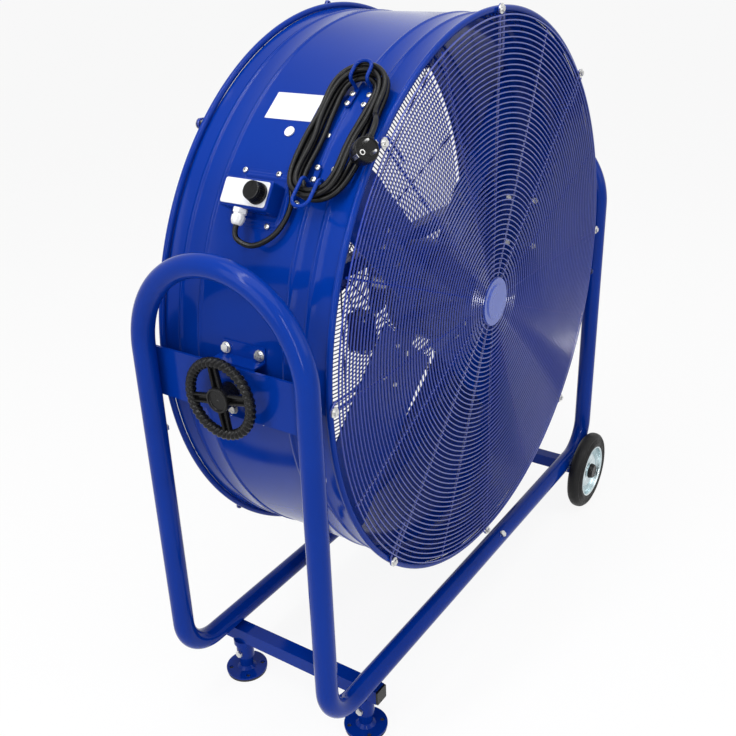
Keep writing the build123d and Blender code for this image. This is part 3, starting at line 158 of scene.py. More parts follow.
def metal(name, dark, light, rough, grain=240.0, spots=60.0):
    """Zinc plate: cloudy tone, fine grain."""
    n = Nodes(name)
    color = n.mix(n.ramp(n.noise(spots, 4.0), 0.35, 0.65, 0.0, 1.0), dark, light)
    roughness = n.ramp(n.noise(grain, 3.0), 0.3, 0.7, *rough)
    normal = n.bump(n.noise(grain * 3, 2.0), 0.06, 0.0006)
    return n.finish(color, roughness, normal, metallic=1.0)


def moulded(name, dark, light, rough, grain=900.0, strength=0.12, specular=0.5, coat=0.0):
    """Plastic or rubber with a fine moulded grain and a little dust in its tone."""
    n = Nodes(name)
    color = n.mix(n.ramp(n.noise(18.0, 5.0), 0.35, 0.7, 0.0, 1.0), dark, light)
    roughness = n.ramp(n.noise(70.0, 4.0), 0.3, 0.7, *rough)
    normal = n.bump(n.noise(grain, 2.0), strength, 0.0006)
    return n.finish(color, roughness, normal, specular=specular, coat=coat)


blue = painted("blue_powder_coat", (0.0006, 0.023, 0.222), (0.0010, 0.031, 0.275))
# Blue coat of the grille hub discs, much lighter than the drum's: the blue is their own paint, the
# extra lightness is painted reflection.
disc_blue_painted_reflection = painted("disc_coat_painted_reflection", (0.03, 0.07, 0.40), (0.04, 0.09, 0.46),
                    rough=(0.2, 0.3), coat=0.4, specular=0.6)
# Blue coat of the grille wires, lighter than the drum's: the blue is the wires' own paint, the extra
# lightness is painted highlight.
wire_blue_painted_highlight = painted("wire_coat_painted_highlight", (0.005, 0.025, 0.26), (0.008, 0.034, 0.32),
                    rough=(0.16, 0.24), coat=0.3, specular=0.6)
zinc = metal("bright_zinc", (0.50, 0.50, 0.50), (0.78, 0.78, 0.76), (0.22, 0.42))
rim_zinc = metal("rim_zinc", (0.50, 0.60, 0.63), (0.66, 0.75, 0.77), (0.16, 0.28), grain=120.0,
                 spots=35.0)
laminated = metal("laminations", (0.14, 0.13, 0.12), (0.26, 0.25, 0.24), (0.45, 0.65))
black = moulded("black_plastic", (0.0035, 0.0035, 0.004), (0.007, 0.007, 0.0075), (0.2, 0.32),
                specular=0.2)
jacket = moulded("cord_jacket", (0.0028, 0.0028, 0.003), (0.006, 0.006, 0.0064), (0.24, 0.36),
                 grain=500.0, strength=0.06, specular=0.2)
rubber = moulded("pad_rubber", (0.012, 0.012, 0.012), (0.024, 0.023, 0.022), (0.62, 0.8),
                 strength=0.25)
tyre_rubber = moulded("tyre_rubber", (0.006, 0.006, 0.0065), (0.013, 0.013, 0.013), (0.42, 0.6),
                      strength=0.2, specular=0.2)
grey = moulded("light_grey_plastic", (0.66, 0.67, 0.70), (0.74, 0.75, 0.77), (0.22, 0.34),
               strength=0.05)
white = moulded("white_nylon", (0.74, 0.74, 0.74), (0.82, 0.82, 0.82), (0.35, 0.5),
                strength=0.06)
motor_paint = painted("motor_paint", (0.006, 0.012, 0.10), (0.012, 0.022, 0.15),
                      rough=(0.35, 0.5), coat=0.1, peel=300.0, peel_strength=0.1)
paper = moulded("blank_label", (0.66, 0.66, 0.68), (0.72, 0.72, 0.74), (0.3, 0.42), strength=0.03)

SLOT_MATERIAL = {"painted_steel": blue, "zinc_steel": zinc, "black_plastic": black,
                 "cord_jacket": jacket, "black_rubber": rubber, "wheel_tyre": tyre_rubber,
                 "wheel_rim": rim_zinc, "grey_plastic": grey, "white_plastic": white,
                 "motor_paint": motor_paint, "laminated_steel": laminated}
NODE_SLOT = {s["node"]: s["material_slot"] for s in frame["record"]["subparts"]}
# The hub discs take the lighter coat, whose extra lightness is painted reflection.
OWN_MATERIAL = {"grille_hub_discs": disc_blue_painted_reflection}
for name, node in nodes.items():
    finish = OWN_MATERIAL.get(name, SLOT_MATERIAL[NODE_SLOT[name]])
    if not node.material_slots:
        node.data.materials.append(finish)
    for held in node.material_slots:
        held.material = finish


# ---------------------------------------------------------------- mesh helpers

def mesh_piece(name, verts, faces, material, body, slot, sharp=35.0, replaces=()):
    mesh = bpy.data.meshes.new(name)
    mesh.from_pydata([tuple(v) for v in verts], [], faces)
    mesh.validate()
    work = bmesh.new()
    work.from_mesh(mesh)
    bmesh.ops.recalc_face_normals(work, faces=work.faces)
    work.to_mesh(mesh)
    work.free()
    mesh.polygons.foreach_set("use_smooth", [True] * len(mesh.polygons))
    mesh.set_sharp_from_angle(angle=radians(sharp))
    mesh.materials.append(material)
    piece = bpy.data.objects.new(name, mesh)
    bpy.context.scene.collection.objects.link(piece)
    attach(piece, body)
    if replaces:
        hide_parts(*replaces)
    return piece


class Shape:
    """Points and faces gathered from several simple strokes."""

    def __init__(self):
        self.verts = []
        self.faces = []

    def loft(self, loops, closed=False, caps=True):
        """Skin through loops of points, each loop closed on itself."""
        count = len(loops[0])
        start = len(self.verts)
        for loop in loops:
            self.verts.extend(loop)
        rows = len(loops)
        for i in range(rows if closed else rows - 1):
            a = start + i * count
            b = start + (i + 1) % rows * count
            for k in range(count):
                n = (k + 1) % count
                self.faces.append((a + k, a + n, b + n, b + k))
        if caps and not closed:
            self.faces.append(tuple(start + k for k in range(count))[::-1])
            last = start + (rows - 1) * count
            self.faces.append(tuple(last + k for k in range(count)))

    def turn(self, profile, origin, axis, segments=128):
        """Closed profile of (radius, height) points, turned about an axis."""
        axis = Vector(axis).normalized()
        e1 = axis.orthogonal().normalized()
        e2 = axis.cross(e1)
        origin = Vector(origin)
        loops = []
        for i in range(segments):
            t = 2 * pi * i / segments
            out = e1 * cos(t) + e2 * sin(t)
            loops.append([origin + axis * h + out * r for r, h in profile])
        self.loft(loops, closed=True)

    def lathe(self, levels, origin, axis, across=None, segments=64):
        """Solid of revolution from (radius, height) or (radius, height, form) levels, flat at
        both ends. A form maps the turn to a factor of the radius."""
        axis = Vector(axis).normalized()
        e1 = Vector(across).normalized() if across is not None else axis.orthogonal().normalized()
        e2 = axis.cross(e1)
        origin = Vector(origin)
        loops = []
        for radius, height, *form in levels:
            loop = []
            for k in range(segments):
                t = 2 * pi * k / segments
                r = radius * form[0](t) if form else radius
                loop.append(origin + axis * height + e1 * r * cos(t) + e2 * r * sin(t))
            loops.append(loop)
        self.loft(loops)

    def bar(self, start, end, across, section, shrink=1.0):
        """Straight bar with a section of (across, normal) points, scaled at its far end."""
        start, end, across = Vector(start), Vector(end), Vector(across)
        normal = (end - start).normalized().cross(across)
        self.loft([[place + across * a * size + normal * b * size for a, b in section]
                   for place, size in ((start, 1.0), (end, shrink))])

    def rod(self, points, radius, sides=8):
        """Round rod along a chain of points."""
        points = [Vector(p) for p in points]
        loops = []
        across = None
        for i, point in enumerate(points):
            ahead = points[min(i + 1, len(points) - 1)] - points[max(i - 1, 0)]
            ahead.normalize()
            if across is None:
                across = ahead.orthogonal().normalized()
            across = (across - ahead * across.dot(ahead)).normalized()
            other = ahead.cross(across)
            loops.append([point + across * radius * cos(2 * pi * k / sides)
                          + other * radius * sin(2 * pi * k / sides) for k in range(sides)])
        self.loft(loops)

    def piece(self, name, material, body, slot, **rest):
        return mesh_piece(name, self.verts, self.faces, material, body, slot, **rest)


def ring_profile(radius, height, thickness, sides=8):
    return [(radius + thickness * cos(2 * pi * k / sides), height + thickness * sin(2 * pi * k / sides))
            for k in range(sides)]


def hexagon(t):
    return cos(pi / 6) / cos((t + pi / 6) % (pi / 3) - pi / 6)


def ribs(count, depth):
    """Factor of the radius of a ribbed grip: round ribs with sharp grooves between them."""
    return lambda t: 1 - depth * (1 - abs(sin(count * t / 2)) ** 0.6)


def rounded_rect(width, length, corner, inset=0.0, steps=6):
    """Outline of (x, y) points of a rectangle with round corners, drawn in by an inset."""
    r = max(corner - inset, 0.0004)
    points = []
    for k, (a, b) in enumerate(((1, 1), (-1, 1), (-1, -1), (1, -1))):
        x, y = a * (width / 2 - inset - r), b * (length / 2 - inset - r)
        for i in range(steps + 1):
            t = pi / 2 * (k + i / steps)
            points.append((x + r * cos(t), y + r * sin(t)))
    return points


def on_drum(angle, y, radius):
    """(point, direction round the drum to +X, direction outwards)"""
    a = radians(angle)
    return (Vector((radius * sin(a), y, AXIS_Z + radius * cos(a))),
            Vector((cos(a), 0, -sin(a))), Vector((sin(a), 0, cos(a))))


# ---------------------------------------------------------------- cord

HANK_ANGLE, HANK_Y, HANK_R = -43.5, -0.099, 0.5375
CORD_D = 0.009


def hank_point(x, y, z=0.0):
    point, along, out = on_drum(HANK_ANGLE, HANK_Y, HANK_R)
    return point + along * x + Vector((0, y, 0)) + out * z


def around(angle, y, radius):
    return on_drum(angle, y, radius)[0]


BOX_ANGLE, BOX_Y, BOX_W, BOX_L, BOX_CORNER = -57.25, 0.014, 0.049, 0.097, 0.004
GLAND_Y, GLAND_R, GLAND_LENGTH = 0.022, 0.555, 0.027
box_side, box_along, box_out = on_drum(BOX_ANGLE, GLAND_Y, GLAND_R)
gland_foot = box_side - box_along * BOX_W / 2
gland_end = gland_foot - box_along * GLAND_LENGTH

# The hank: half of its straight run, the centres of its lower (-1) and upper end (1), the step
# between strands side by side, the step up to the strands above, the outermost strand, and the
# reach of a half turn's control points as a share of its radius.
RUN = 0.069
RUN_ENDS = {-1: 0.078, 1: 0.069}
PITCH = 0.0095
CLIMB = 0.0095
OUTER = 0.0505
BEND = tan(radians(22.5))

route = [gland_end, gland_end - box_along * 0.016, around(-65.3, 0.007, 0.556),
         around(-65.5, -0.017, 0.549), around(-62.5, -0.051, 0.541),
         around(-57.2, -0.063, 0.540), hank_point(-RUN - 0.030, OUTER)]


def half_turn(end, middle, r, z, first):
    """Four control points of a half turn at one end of the hank."""
    x = end * RUN_ENDS[end]
    y = middle
    spots = [(x + end * r * BEND, y + first * r), (x + end * r, y + first * r * BEND),
             (x + end * r, y - first * r * BEND), (x + end * r * BEND, y - first * r)]
    return [hank_point(a, b, z) for a, b in spots]


def run(y, heading, z0, z1, slack=(0.0, 0.0)):
    """Two control points of one strand between the ends, each drawn aside by its slack."""
    return [hank_point(-heading * RUN / 3, y + slack[0], z0 + (z1 - z0) / 4),
            hank_point(heading * RUN / 3, y + slack[1], z1 - (z1 - z0) / 4)]


BOX_SLACK = [(0.001, 0.004), (-0.002, 0.001), (-0.006, -0.002)]
GRILLE_SLACK = [(-0.002, -0.008), (0.001, -0.003), (0.004, 0.006)]
BOX_SLACK_ABOVE = [(-0.007, 0.003), (0.003, -0.004)]
GRILLE_SLACK_ABOVE = (-0.003, 0.007)
turns_in = [OUTER - PITCH * k for k in range(3)]
turns_out = turns_in[::-1][1:]
for k, r in enumerate(turns_in):
    route += run(r, 1, 0, 0, BOX_SLACK[k]) + half_turn(1, 0, r, 0, 1)
    if k < 2:
        following = turns_in[k + 1]
        route += run(-r, -1, 0, 0, GRILLE_SLACK[k])
        route += half_turn(-1, (following - r) / 2, (following + r) / 2, 0, -1)
route += run(-turns_in[-1], -1, 0, CLIMB, GRILLE_SLACK[2])
low = turns_in[-1]
for k, r in enumerate(turns_out):
    route += half_turn(-1, (r - low) / 2, (r + low) / 2, CLIMB, -1)
    route += run(r, 1, CLIMB, CLIMB, BOX_SLACK_ABOVE[k]) + half_turn(1, 0, r, CLIMB, 1)
    if k < 1:
        route += run(-r, -1, CLIMB, CLIMB, GRILLE_SLACK_ABOVE)
    low = r
PLUG_Y, PLUG_Z = -0.081, 0.033
TAIL_END_X = -0.024
route += [hank_point(0.032, -OUTER, CLIMB), hank_point(0.004, PLUG_Y, PLUG_Z),
          hank_point(TAIL_END_X, PLUG_Y, PLUG_Z)]

curve = bpy.data.curves.new("mains_cord", "CURVE")
curve.dimensions = "3D"
spline = curve.splines.new("NURBS")
spline.points.add(len(route) - 1)
for held, point in zip(spline.points, route):
    held.co = (*point, 1.0)
spline.order_u = 3
spline.use_endpoint_u = True
spline.resolution_u = 8
curve.bevel_depth = CORD_D / 2
curve.bevel_resolution = 5
curve.use_fill_caps = True
curve.materials.append(jacket)
cord = bpy.data.objects.new("mains_cord", curve)
bpy.context.scene.collection.objects.link(cord)
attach(cord, "drum")
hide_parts("cord_lead", "cord_hank", "cord_tail")


def build_gland():
    """Hexagon, neck and a dome with flats; the neck and dome stand on the hexagon."""
    shape = Shape()
    flats = lambda t: 1 - 0.05 * abs(sin(6 * t))
    shape.lathe([(0.0112, 0.0, hexagon), (0.0120, 0.0006, hexagon), (0.0120, 0.0074, hexagon),
                 (0.0112, 0.0082, hexagon), (0.0095, 0.0084), (0.0095, 0.0120), (0.0106, 0.0122),
                 (0.0112, 0.0128, flats), (0.0112, 0.0175, flats), (0.0106, 0.0205, flats),
                 (0.0088, 0.0245), (0.0068, 0.0266), (0.0052, 0.0270)],
                gland_foot, -box_along, across=box_out, segments=72)
    return shape.piece("gland_body", white, "drum", "white_plastic", replaces=("cable_gland",))


PLUG_R, NECK_REACH = 0.0195, 0.009
PLUG_LIFT, PIN_TURN = radians(40), radians(64)
PIN_HALF_SPACING, EARTH_OFFSET, PLUG_FACE_H, EARTH_CLIP_R = 0.0095, 0.0100, 0.0162, 0.0191
plug_middle = hank_point(TAIL_END_X - NECK_REACH - PLUG_R, PLUG_Y, PLUG_Z)
hank_along, hank_out = on_drum(HANK_ANGLE, 0, 1)[1:]
plug_out = hank_out * sin(PLUG_LIFT) - Vector((0, 1, 0)) * cos(PLUG_LIFT)
plug_side = plug_out.cross(hank_along)
pin_axis = hank_along * cos(PIN_TURN) + plug_side * sin(PIN_TURN)
clip_axis = plug_side * cos(PIN_TURN) - hank_along * sin(PIN_TURN)


def plug_body():
    """Round angled body with grip beads round it and a ribbed neck for the cord."""
    body = Shape()
    body.lathe([(0.0110, -0.0180), (0.0148, -0.0172), (0.0162, -0.0140), (0.0176, -0.0080),
                (0.0188, -0.0030), (PLUG_R, 0.0010), (PLUG_R, 0.0148), (0.0190, 0.0162),
                (0.0180, 0.0170), (0.0166, 0.0170), (0.0164, PLUG_FACE_H)],
               plug_middle, plug_out, across=hank_along, segments=64)
    levels = [(0.0120, 0.010), (0.0105, 0.017), (0.0085, 0.0205)]
    for k in range(4):
        start = 0.0212 + 0.0019 * k
        size = 0.0076 - 0.0004 * k
        levels += [(size, start), (size, start + 0.0012), (size - 0.0010, start + 0.0013),
                   (size - 0.0010, start + 0.0018)]
    body.lathe(levels, plug_middle, hank_along, across=plug_side, segments=32)
    for turn in range(0, 360, 30):
        if turn % 90 == 0:
            continue
        t = radians(turn)
        out = hank_along * cos(t) + plug_side * sin(t)
        body.rod([plug_middle + out * 0.0192 + plug_out * h for h in (-0.001, 0.013)], 0.0009, 6)
    return body.piece("plug_body", black, "drum", "black_plastic", replaces=("mains_plug",))


def plug_metal():
    """Two round pins, two earth clips and the ring of the earth hole, with the dark hole in it."""
    metal_parts = Shape()
    face = plug_middle + plug_out * PLUG_FACE_H
    for side in (-1, 1):
        metal_parts.lathe([(0.0024, 0.0), (0.0024, 0.0165), (0.0021, 0.0180), (0.0014, 0.0190)],
                          face + pin_axis * side * PIN_HALF_SPACING, plug_out, segments=20)
        clip = plug_middle + clip_axis * side * EARTH_CLIP_R
        outline = ((-0.0032, 0), (0.0032, 0), (0.0032, 0.0008), (-0.0032, 0.0008))
        metal_parts.loft([[clip + pin_axis * a + clip_axis * side * b + plug_out * h
                           for a, b in outline] for h in (0.002, 0.0140, 0.0172)])
    ring = face + clip_axis * EARTH_OFFSET
    metal_parts.turn([(0.0026, 0.0), (0.0044, 0.0), (0.0042, 0.0012), (0.0028, 0.0012)], ring,
                     plug_out, segments=28)
    hole = Shape()
    hole.lathe([(0.0026, 0.0), (0.0026, 0.0004)], ring, plug_out, segments=24)
    return [metal_parts.piece("plug_pins", zinc, "drum", "zinc_steel"),
            hole.piece("plug_earth_hole", black, "drum", "black_plastic")]


on_cord = [plug_body()] + plug_metal() + [build_gland()]


# ---------------------------------------------------------------- cord hooks

# The lower hook (-1) and the upper one (1): risers, their feet on the drum, the reach of the loop
# and the middle of the tabs, as steps and turns from the middle of the hank.
HOOK_HALF, HOOK_Z, HOOK_WIRE, HOOK_BEND, RISER_BEND = 0.0155, 0.0185, 0.003, 0.0145, 0.008
RISER_X = {-1: 0.0957, 1: 0.08666}
RISER_FOOT = {-1: -0.0118, 1: -0.0103}
RISER_TURN = {-1: 10.32, 1: 9.159}
HOOK_REACH = {-1: 0.052, 1: 0.034}
TAB_R, TAB_THICK, TAB_LENGTH, TAB_HALF, TAB_EDGE = 0.5328, 0.003, 0.042, 0.005, 0.0018
TAB_TURN = {-1: 8.59, 1: 7.43}
TAB_STEPS = (0.011, 0.031)


def bent(points, radii, steps=8):
    """Chain of points with its corners rounded."""
    path = [points[0]]
    for before, here, after, radius in zip(points, points[1:], points[2:], radii):
        u, w = (before - here).normalized(), (after - here).normalized()
        reach = radius / tan(u.angle(w) / 2)
        middle = here + (u + w).normalized() * radius / sin(u.angle(w) / 2)
        first, last = here + u * reach - middle, here + w * reach - middle
        aside = (last - first * (last.dot(first) / first.length_squared)).normalized() * radius
        for i in range(steps + 1):
            t = first.angle(last) * i / steps
            path.append(middle + first * cos(t) + aside * sin(t))
    return path + [points[-1]]


def hook_wire(shape, end):
    foot_x, foot_z = end * RISER_X[end], RISER_FOOT[end]
    tip = foot_x + end * HOOK_REACH[end]
    corners = [hank_point(foot_x, -HOOK_HALF, foot_z), hank_point(foot_x, -HOOK_HALF, HOOK_Z),
               hank_point(tip, -HOOK_HALF, HOOK_Z), hank_point(tip, HOOK_HALF, HOOK_Z),
               hank_point(foot_x, HOOK_HALF, HOOK_Z), hank_point(foot_x, HOOK_HALF, foot_z)]
    shape.rod(bent(corners, (RISER_BEND, HOOK_BEND, HOOK_BEND, RISER_BEND)), HOOK_WIRE, 14)


def hook_tab(shape, end, lane, rows=12):
    """Flat tab with round ends, bent to the drum."""
    loops = []
    for i in range(rows + 1):
        s = 2 * i / rows - 1
        turn = HANK_ANGLE + end * TAB_TURN[end] + s * (TAB_LENGTH / 2 / DRUM_R) * 180 / pi
        half = TAB_HALF * max(0.45, sqrt(1 - abs(s) ** 9))
        y = HANK_Y + lane * HOOK_HALF
        loops.append([on_drum(turn, y + a * half, TAB_R + b)[0]
                      for a, b in ((-1, 0), (-1, TAB_EDGE), (-0.7, TAB_THICK),
                                   (0.7, TAB_THICK), (1, TAB_EDGE), (1, 0))])
    shape.loft(loops)


def build_hooks():
    shape = Shape()
    for end in (-1, 1):
        hook_wire(shape, end)
        for lane in (-1, 1):
            hook_tab(shape, end, lane)
    shape.piece("hook_wires", blue, "drum", "painted_steel", replaces=("cord_hooks",))


build_hooks()


# ---------------------------------------------------------------- screws on the drum

def dome_screws(name, places, material, slot, replaces=()):
    """Round heads, the cross recess in each drawn as black bars on the dome for painted shade.
    Each place is a point, an outward and a side direction, a head radius and a head height."""
    heads, recess_painted_shade = Shape(), Shape()
    for point, out, side, radius, height in places:
        heads.lathe([(radius * 0.5, -0.002), (radius, 0.0), (radius, height * 0.35),
                     (radius * 0.93, height * 0.62), (radius * 0.75, height * 0.84),
                     (radius * 0.45, height * 0.97), (radius * 0.2, height)], point, out,
                    segments=24)
        other = out.cross(side)
        # Each cross recess is black bars on the zinc head: painted shade in the recess.
        for a, b in ((side, other), (other, side)):
            recess_painted_shade.loft([[point + out * h + a * u * radius * 0.5 + b * v * radius * 0.11
                            for u, v in ((-1, -1), (1, -1), (1, 1), (-1, 1))]
                           for h in (height * 0.5, height * 1.02)])
    heads.piece(name, material, "drum", slot, replaces=replaces)
    recess_painted_shade.piece(name + "_recesses", black, "drum", "black_plastic")


SCREW_R, SCREW_H = 0.005, 0.0035
SADDLE_SEAT_R, SHELL_SEAT_R = 0.5323, 0.5302
SADDLE_SCREWS = ((-52.4, 0.056), (-52.4, -0.013), (-61.6, -0.019))
SHELL_SCREWS = ((-57.1, -0.0621, 0.0062), (-39.5, -0.060, 0.0045), (-44.1, -0.074, 0.0045))
TERMINAL_MIDDLE, TERMINAL_X, TERMINAL_Z = Vector((-0.0375, 0.086, AXIS_Z - 0.110)), 0.020, 0.036


def drum_screw_places():
    places = []
    for turn, y in SADDLE_SCREWS:
        point, along, out = on_drum(turn, y, SADDLE_SEAT_R)
        places.append((point, out, along, SCREW_R, SCREW_H))
    for end in (-1, 1):
        for step in TAB_STEPS:
            for lane in (-1, 1):
                turn = HANK_ANGLE + end * (RISER_TURN[end] - step / DRUM_R * 180 / pi)
                point, along, out = on_drum(turn, HANK_Y + lane * HOOK_HALF, TAB_R + TAB_THICK)
                places.append((point, out, along, SCREW_R, SCREW_H))
    for turn, y, size in SHELL_SCREWS:
        point, along, out = on_drum(turn, y, SHELL_SEAT_R)
        places.append((point, out, along, size, size * 0.65))
    for a in (-1, 1):
        for b in (-1, 1):
            point = TERMINAL_MIDDLE + Vector((a * TERMINAL_X, 0, b * TERMINAL_Z))
            places.append((point, Vector((0, -1, 0)), Vector((1, 0, 0)), SCREW_R, SCREW_H))
    return places


dome_screws("drum_screw_heads", drum_screw_places(), zinc, "zinc_steel",
            replaces=("drum_screws",))


# ---------------------------------------------------------------- switch box and label

BOX_FACE_R, BOX_EDGE, SADDLE_TOP_R = 0.565, 0.003, 0.5321
FACEPLATE_CORNER = 0.0078
KNOB_Y, KNOB_SEAT_R, KNOB_RIBS = -0.013, 0.5673, 30


def drum_plate(name, turn, middle_y, width, length, corner, levels, material, slot, replaces=()):
    """Thin plate that follows the drum. Its levels are (inset from the edge, radius)."""
    shape = Shape()
    reach = levels[-1][0]
    rest = min(width, length) / 2 - 0.0006 - reach
    steps = 10
    inner = [(reach + rest * k / steps, levels[-1][1]) for k in range(1, steps + 1)]
    loops = []
    for inset, radius in list(levels) + inner:
        loops.append([on_drum(turn + x / DRUM_R * 180 / pi, middle_y + y, radius)[0]
                      for x, y in rounded_rect(width, length, corner, inset, 8)])
    shape.loft(loops)
    return shape.piece(name, material, "drum", slot, replaces=replaces)


drum_plate("blank_label_plate", -38.75, 0.0195, 0.055, 0.095, 0.0015,
           ((0, 0.5300), (0, 0.5304), (0.0004, 0.5307)), paper, "grey_plastic")
drum_plate("saddle_plate", -57.0, 0.0095, 0.0956, 0.113, 0.016,
           ((0, 0.5300), (0, 0.5305), (0.0006, 0.5310), (0.0044, 0.5310), (0.0050, 0.5312),
            (0.0056, 0.5319), (0.0062, 0.5321), (0.0096, 0.5321), (0.0102, 0.5323),
            (0.0108, 0.5329), (0.0114, 0.5331), (0.0140, 0.5331), (0.0152, 0.5323)),
           blue, "painted_steel", replaces=("box_saddle",))


def box_place(x, y, radius):
    point, along, out = on_drum(BOX_ANGLE, BOX_Y + y, radius)
    return point + along * x


def build_box():
    """Box with a rounded face edge that follows the drum at its foot, and its faceplate."""
    body = Shape()
    corner = BOX_CORNER + 0.001
    loops = [[box_place(x, y, sqrt(SADDLE_TOP_R ** 2 - x * x))
              for x, y in rounded_rect(BOX_W, BOX_L, corner)]]
    steps = 5
    for i in range(steps + 1):
        t = pi / 2 * i / steps
        loops.append([box_place(x, y, BOX_FACE_R - BOX_EDGE + BOX_EDGE * sin(t))
                      for x, y in rounded_rect(BOX_W, BOX_L, corner, BOX_EDGE * (1 - cos(t)))])
    body.loft(loops)
    body.piece("switch_box_body", blue, "drum", "painted_steel", replaces=("switch_box",))
    plate = Shape()
    levels = ((0.0044, 0.0), (0.0038, 0.0006), (0.0038, 0.0014), (0.0041, 0.0018), (0.0048, 0.0020))
    plate.loft([[box_place(x, y, BOX_FACE_R + h) for x, y in
                 rounded_rect(BOX_W, BOX_L, FACEPLATE_CORNER, inset)] for inset, h in levels])
    plate.piece("faceplate_panel", grey, "drum", "grey_plastic", replaces=("switch_faceplate",))


build_box()


def build_knob():
    """Skirt, ribbed grip and a raised pointer line on its flat end."""
    point, along, out = on_drum(BOX_ANGLE, KNOB_Y, KNOB_SEAT_R)
    grip = ribs(KNOB_RIBS, 0.07)
    shape = Shape()
    shape.lathe([(0.0166, 0.0), (0.0178, 0.0006), (0.0178, 0.0034), (0.0172, 0.0040),
                 (0.0170, 0.0044, grip), (0.0162, 0.0150, grip), (0.0158, 0.0166, grip),
                 (0.0152, 0.0170), (0.0153, 0.0186), (0.0150, 0.0196), (0.0142, 0.0201),
                 (0.0130, 0.0202), (0.0126, 0.0198)], point, out, across=along, segments=240)
    tip = point + out * 0.0196
    shape.bar(tip + along * 0.0055, tip + along * 0.0122, Vector((0, 1, 0)),
              [(-0.0008, -0.0004), (0.0008, -0.0004), (0.0008, 0.0006), (-0.0008, 0.0006)])
    shape.piece("selector_knob_grip", black, "selector", "black_plastic",
                replaces=("selector_knob",))


build_knob()


# ---------------------------------------------------------------- handwheel and wheels

WHEEL_FRONT_X, WHEEL_SEAT_X, GRIP_RING_R, GRIP_R = -0.6035, -0.5683, 0.0628, 0.0092
GRIP_RIBS, GRIP_DEPTH, SPOKE_TURN = 42, 0.27, 80
SPOKE_IN, SPOKE_OUT = 0.018, 0.058


def grip_ring(shape, middle, outward):
    """Round grip with slanted ribs all round."""
    loops = []
    steps, sides = 8, 20
    for i in range(GRIP_RIBS * steps):
        t = 2 * pi * i / (GRIP_RIBS * steps)
        out = Vector((0, cos(t), sin(t)))
        loop = []
        for k in range(sides):
            a = 2 * pi * k / sides
            groove = 1 - abs(sin(GRIP_RIBS * t / 2 + a)) ** 0.8
            r = GRIP_R * (1 - GRIP_DEPTH * groove)
            loop.append(middle + out * (GRIP_RING_R + r * cos(a)) + outward * r * sin(a))
        loops.append(loop)
    shape.loft(loops, closed=True)


def wheel_spoke(shape, middle, outward, turn):
    """Two ribs joined by a web."""
    t = radians(turn)
    out, across = Vector((0, cos(t), sin(t))), Vector((0, -sin(t), cos(t)))
    rib = [(0.0030 * cos(2 * pi * k / 16), 0.0052 * sin(2 * pi * k / 16)) for k in range(16)]
    for side in (-1, 1):
        shape.bar(middle + out * SPOKE_IN + across * side * 0.0066,
                  middle + out * SPOKE_OUT + across * side * 0.0058, across, rib, 0.9)
    web = [(-0.0055, -0.0012), (0.0055, -0.0012), (0.0055, 0.0012), (-0.0055, 0.0012)]
    low = middle - outward * 0.0030
    shape.bar(low + out * SPOKE_IN, low + out * SPOKE_OUT, across, web)


def build_handwheel():
    outward = Vector((-1, 0, 0))
    middle = Vector((WHEEL_FRONT_X + GRIP_R, 0, AXIS_Z))
    shape = Shape()
    grip_ring(shape, middle, outward)
    for k in range(4):
        wheel_spoke(shape, middle, outward, SPOKE_TURN + 90 * k)
    depth = WHEEL_SEAT_X - WHEEL_FRONT_X
    shape.turn([(0.0081, 0.0), (0.0190, 0.0), (0.0205, 0.0015), (0.0205, depth - 0.012),
                (0.0218, depth - 0.010), (0.0220, depth - 0.0020), (0.0212, depth - 0.0005),
                (0.0200, depth), (0.0190, depth), (0.0182, depth - 0.0005),
                (0.0178, depth - 0.0024), (0.0170, depth - 0.0032), (0.0004, depth - 0.0034),
                (0.0004, depth - 0.0042), (0.0081, depth - 0.0042)],
               (WHEEL_SEAT_X, 0, AXIS_Z), outward, segments=64)
    shape.piece("handwheel_grip", black, "handwheel", "black_plastic", replaces=("handwheel",))


build_handwheel()

WHEEL_X, WHEEL_Y, WHEEL_R = 0.522, 0.215, 0.100


def mirrored(half):
    """Profile of (radius, height) points for the far side, and the same for the near side."""
    return half + [(r, -h) for r, h in half[::-1]]


def tyre_profile():
    """Round tyre with three ridges on its sloping side and a step at the shoulder."""
    ridges = []
    for start, height in ((0.0766, 0.0178), (0.0808, 0.0171), (0.0850, 0.0160)):
        ridges += [(start, height), (start + 0.0008, height + 0.0010),
                   (start + 0.0018, height + 0.0008), (start + 0.0026, height - 0.0006)]
    side = [(0.0640, 0.0130), (0.0662, 0.0142), (0.0672, 0.0164), (0.0690, 0.0176),
            (0.0715, 0.0182), (0.0745, 0.0183)]
    tread = [(0.0892, 0.0150), (0.0905, 0.0152), (0.0925, 0.0146), (0.0938, 0.0130),
             (0.0960, 0.0114), (0.0978, 0.0094), (0.0990, 0.0070), (0.0997, 0.0040),
             (WHEEL_R, 0.0010)]
    return mirrored(side + ridges + tread)


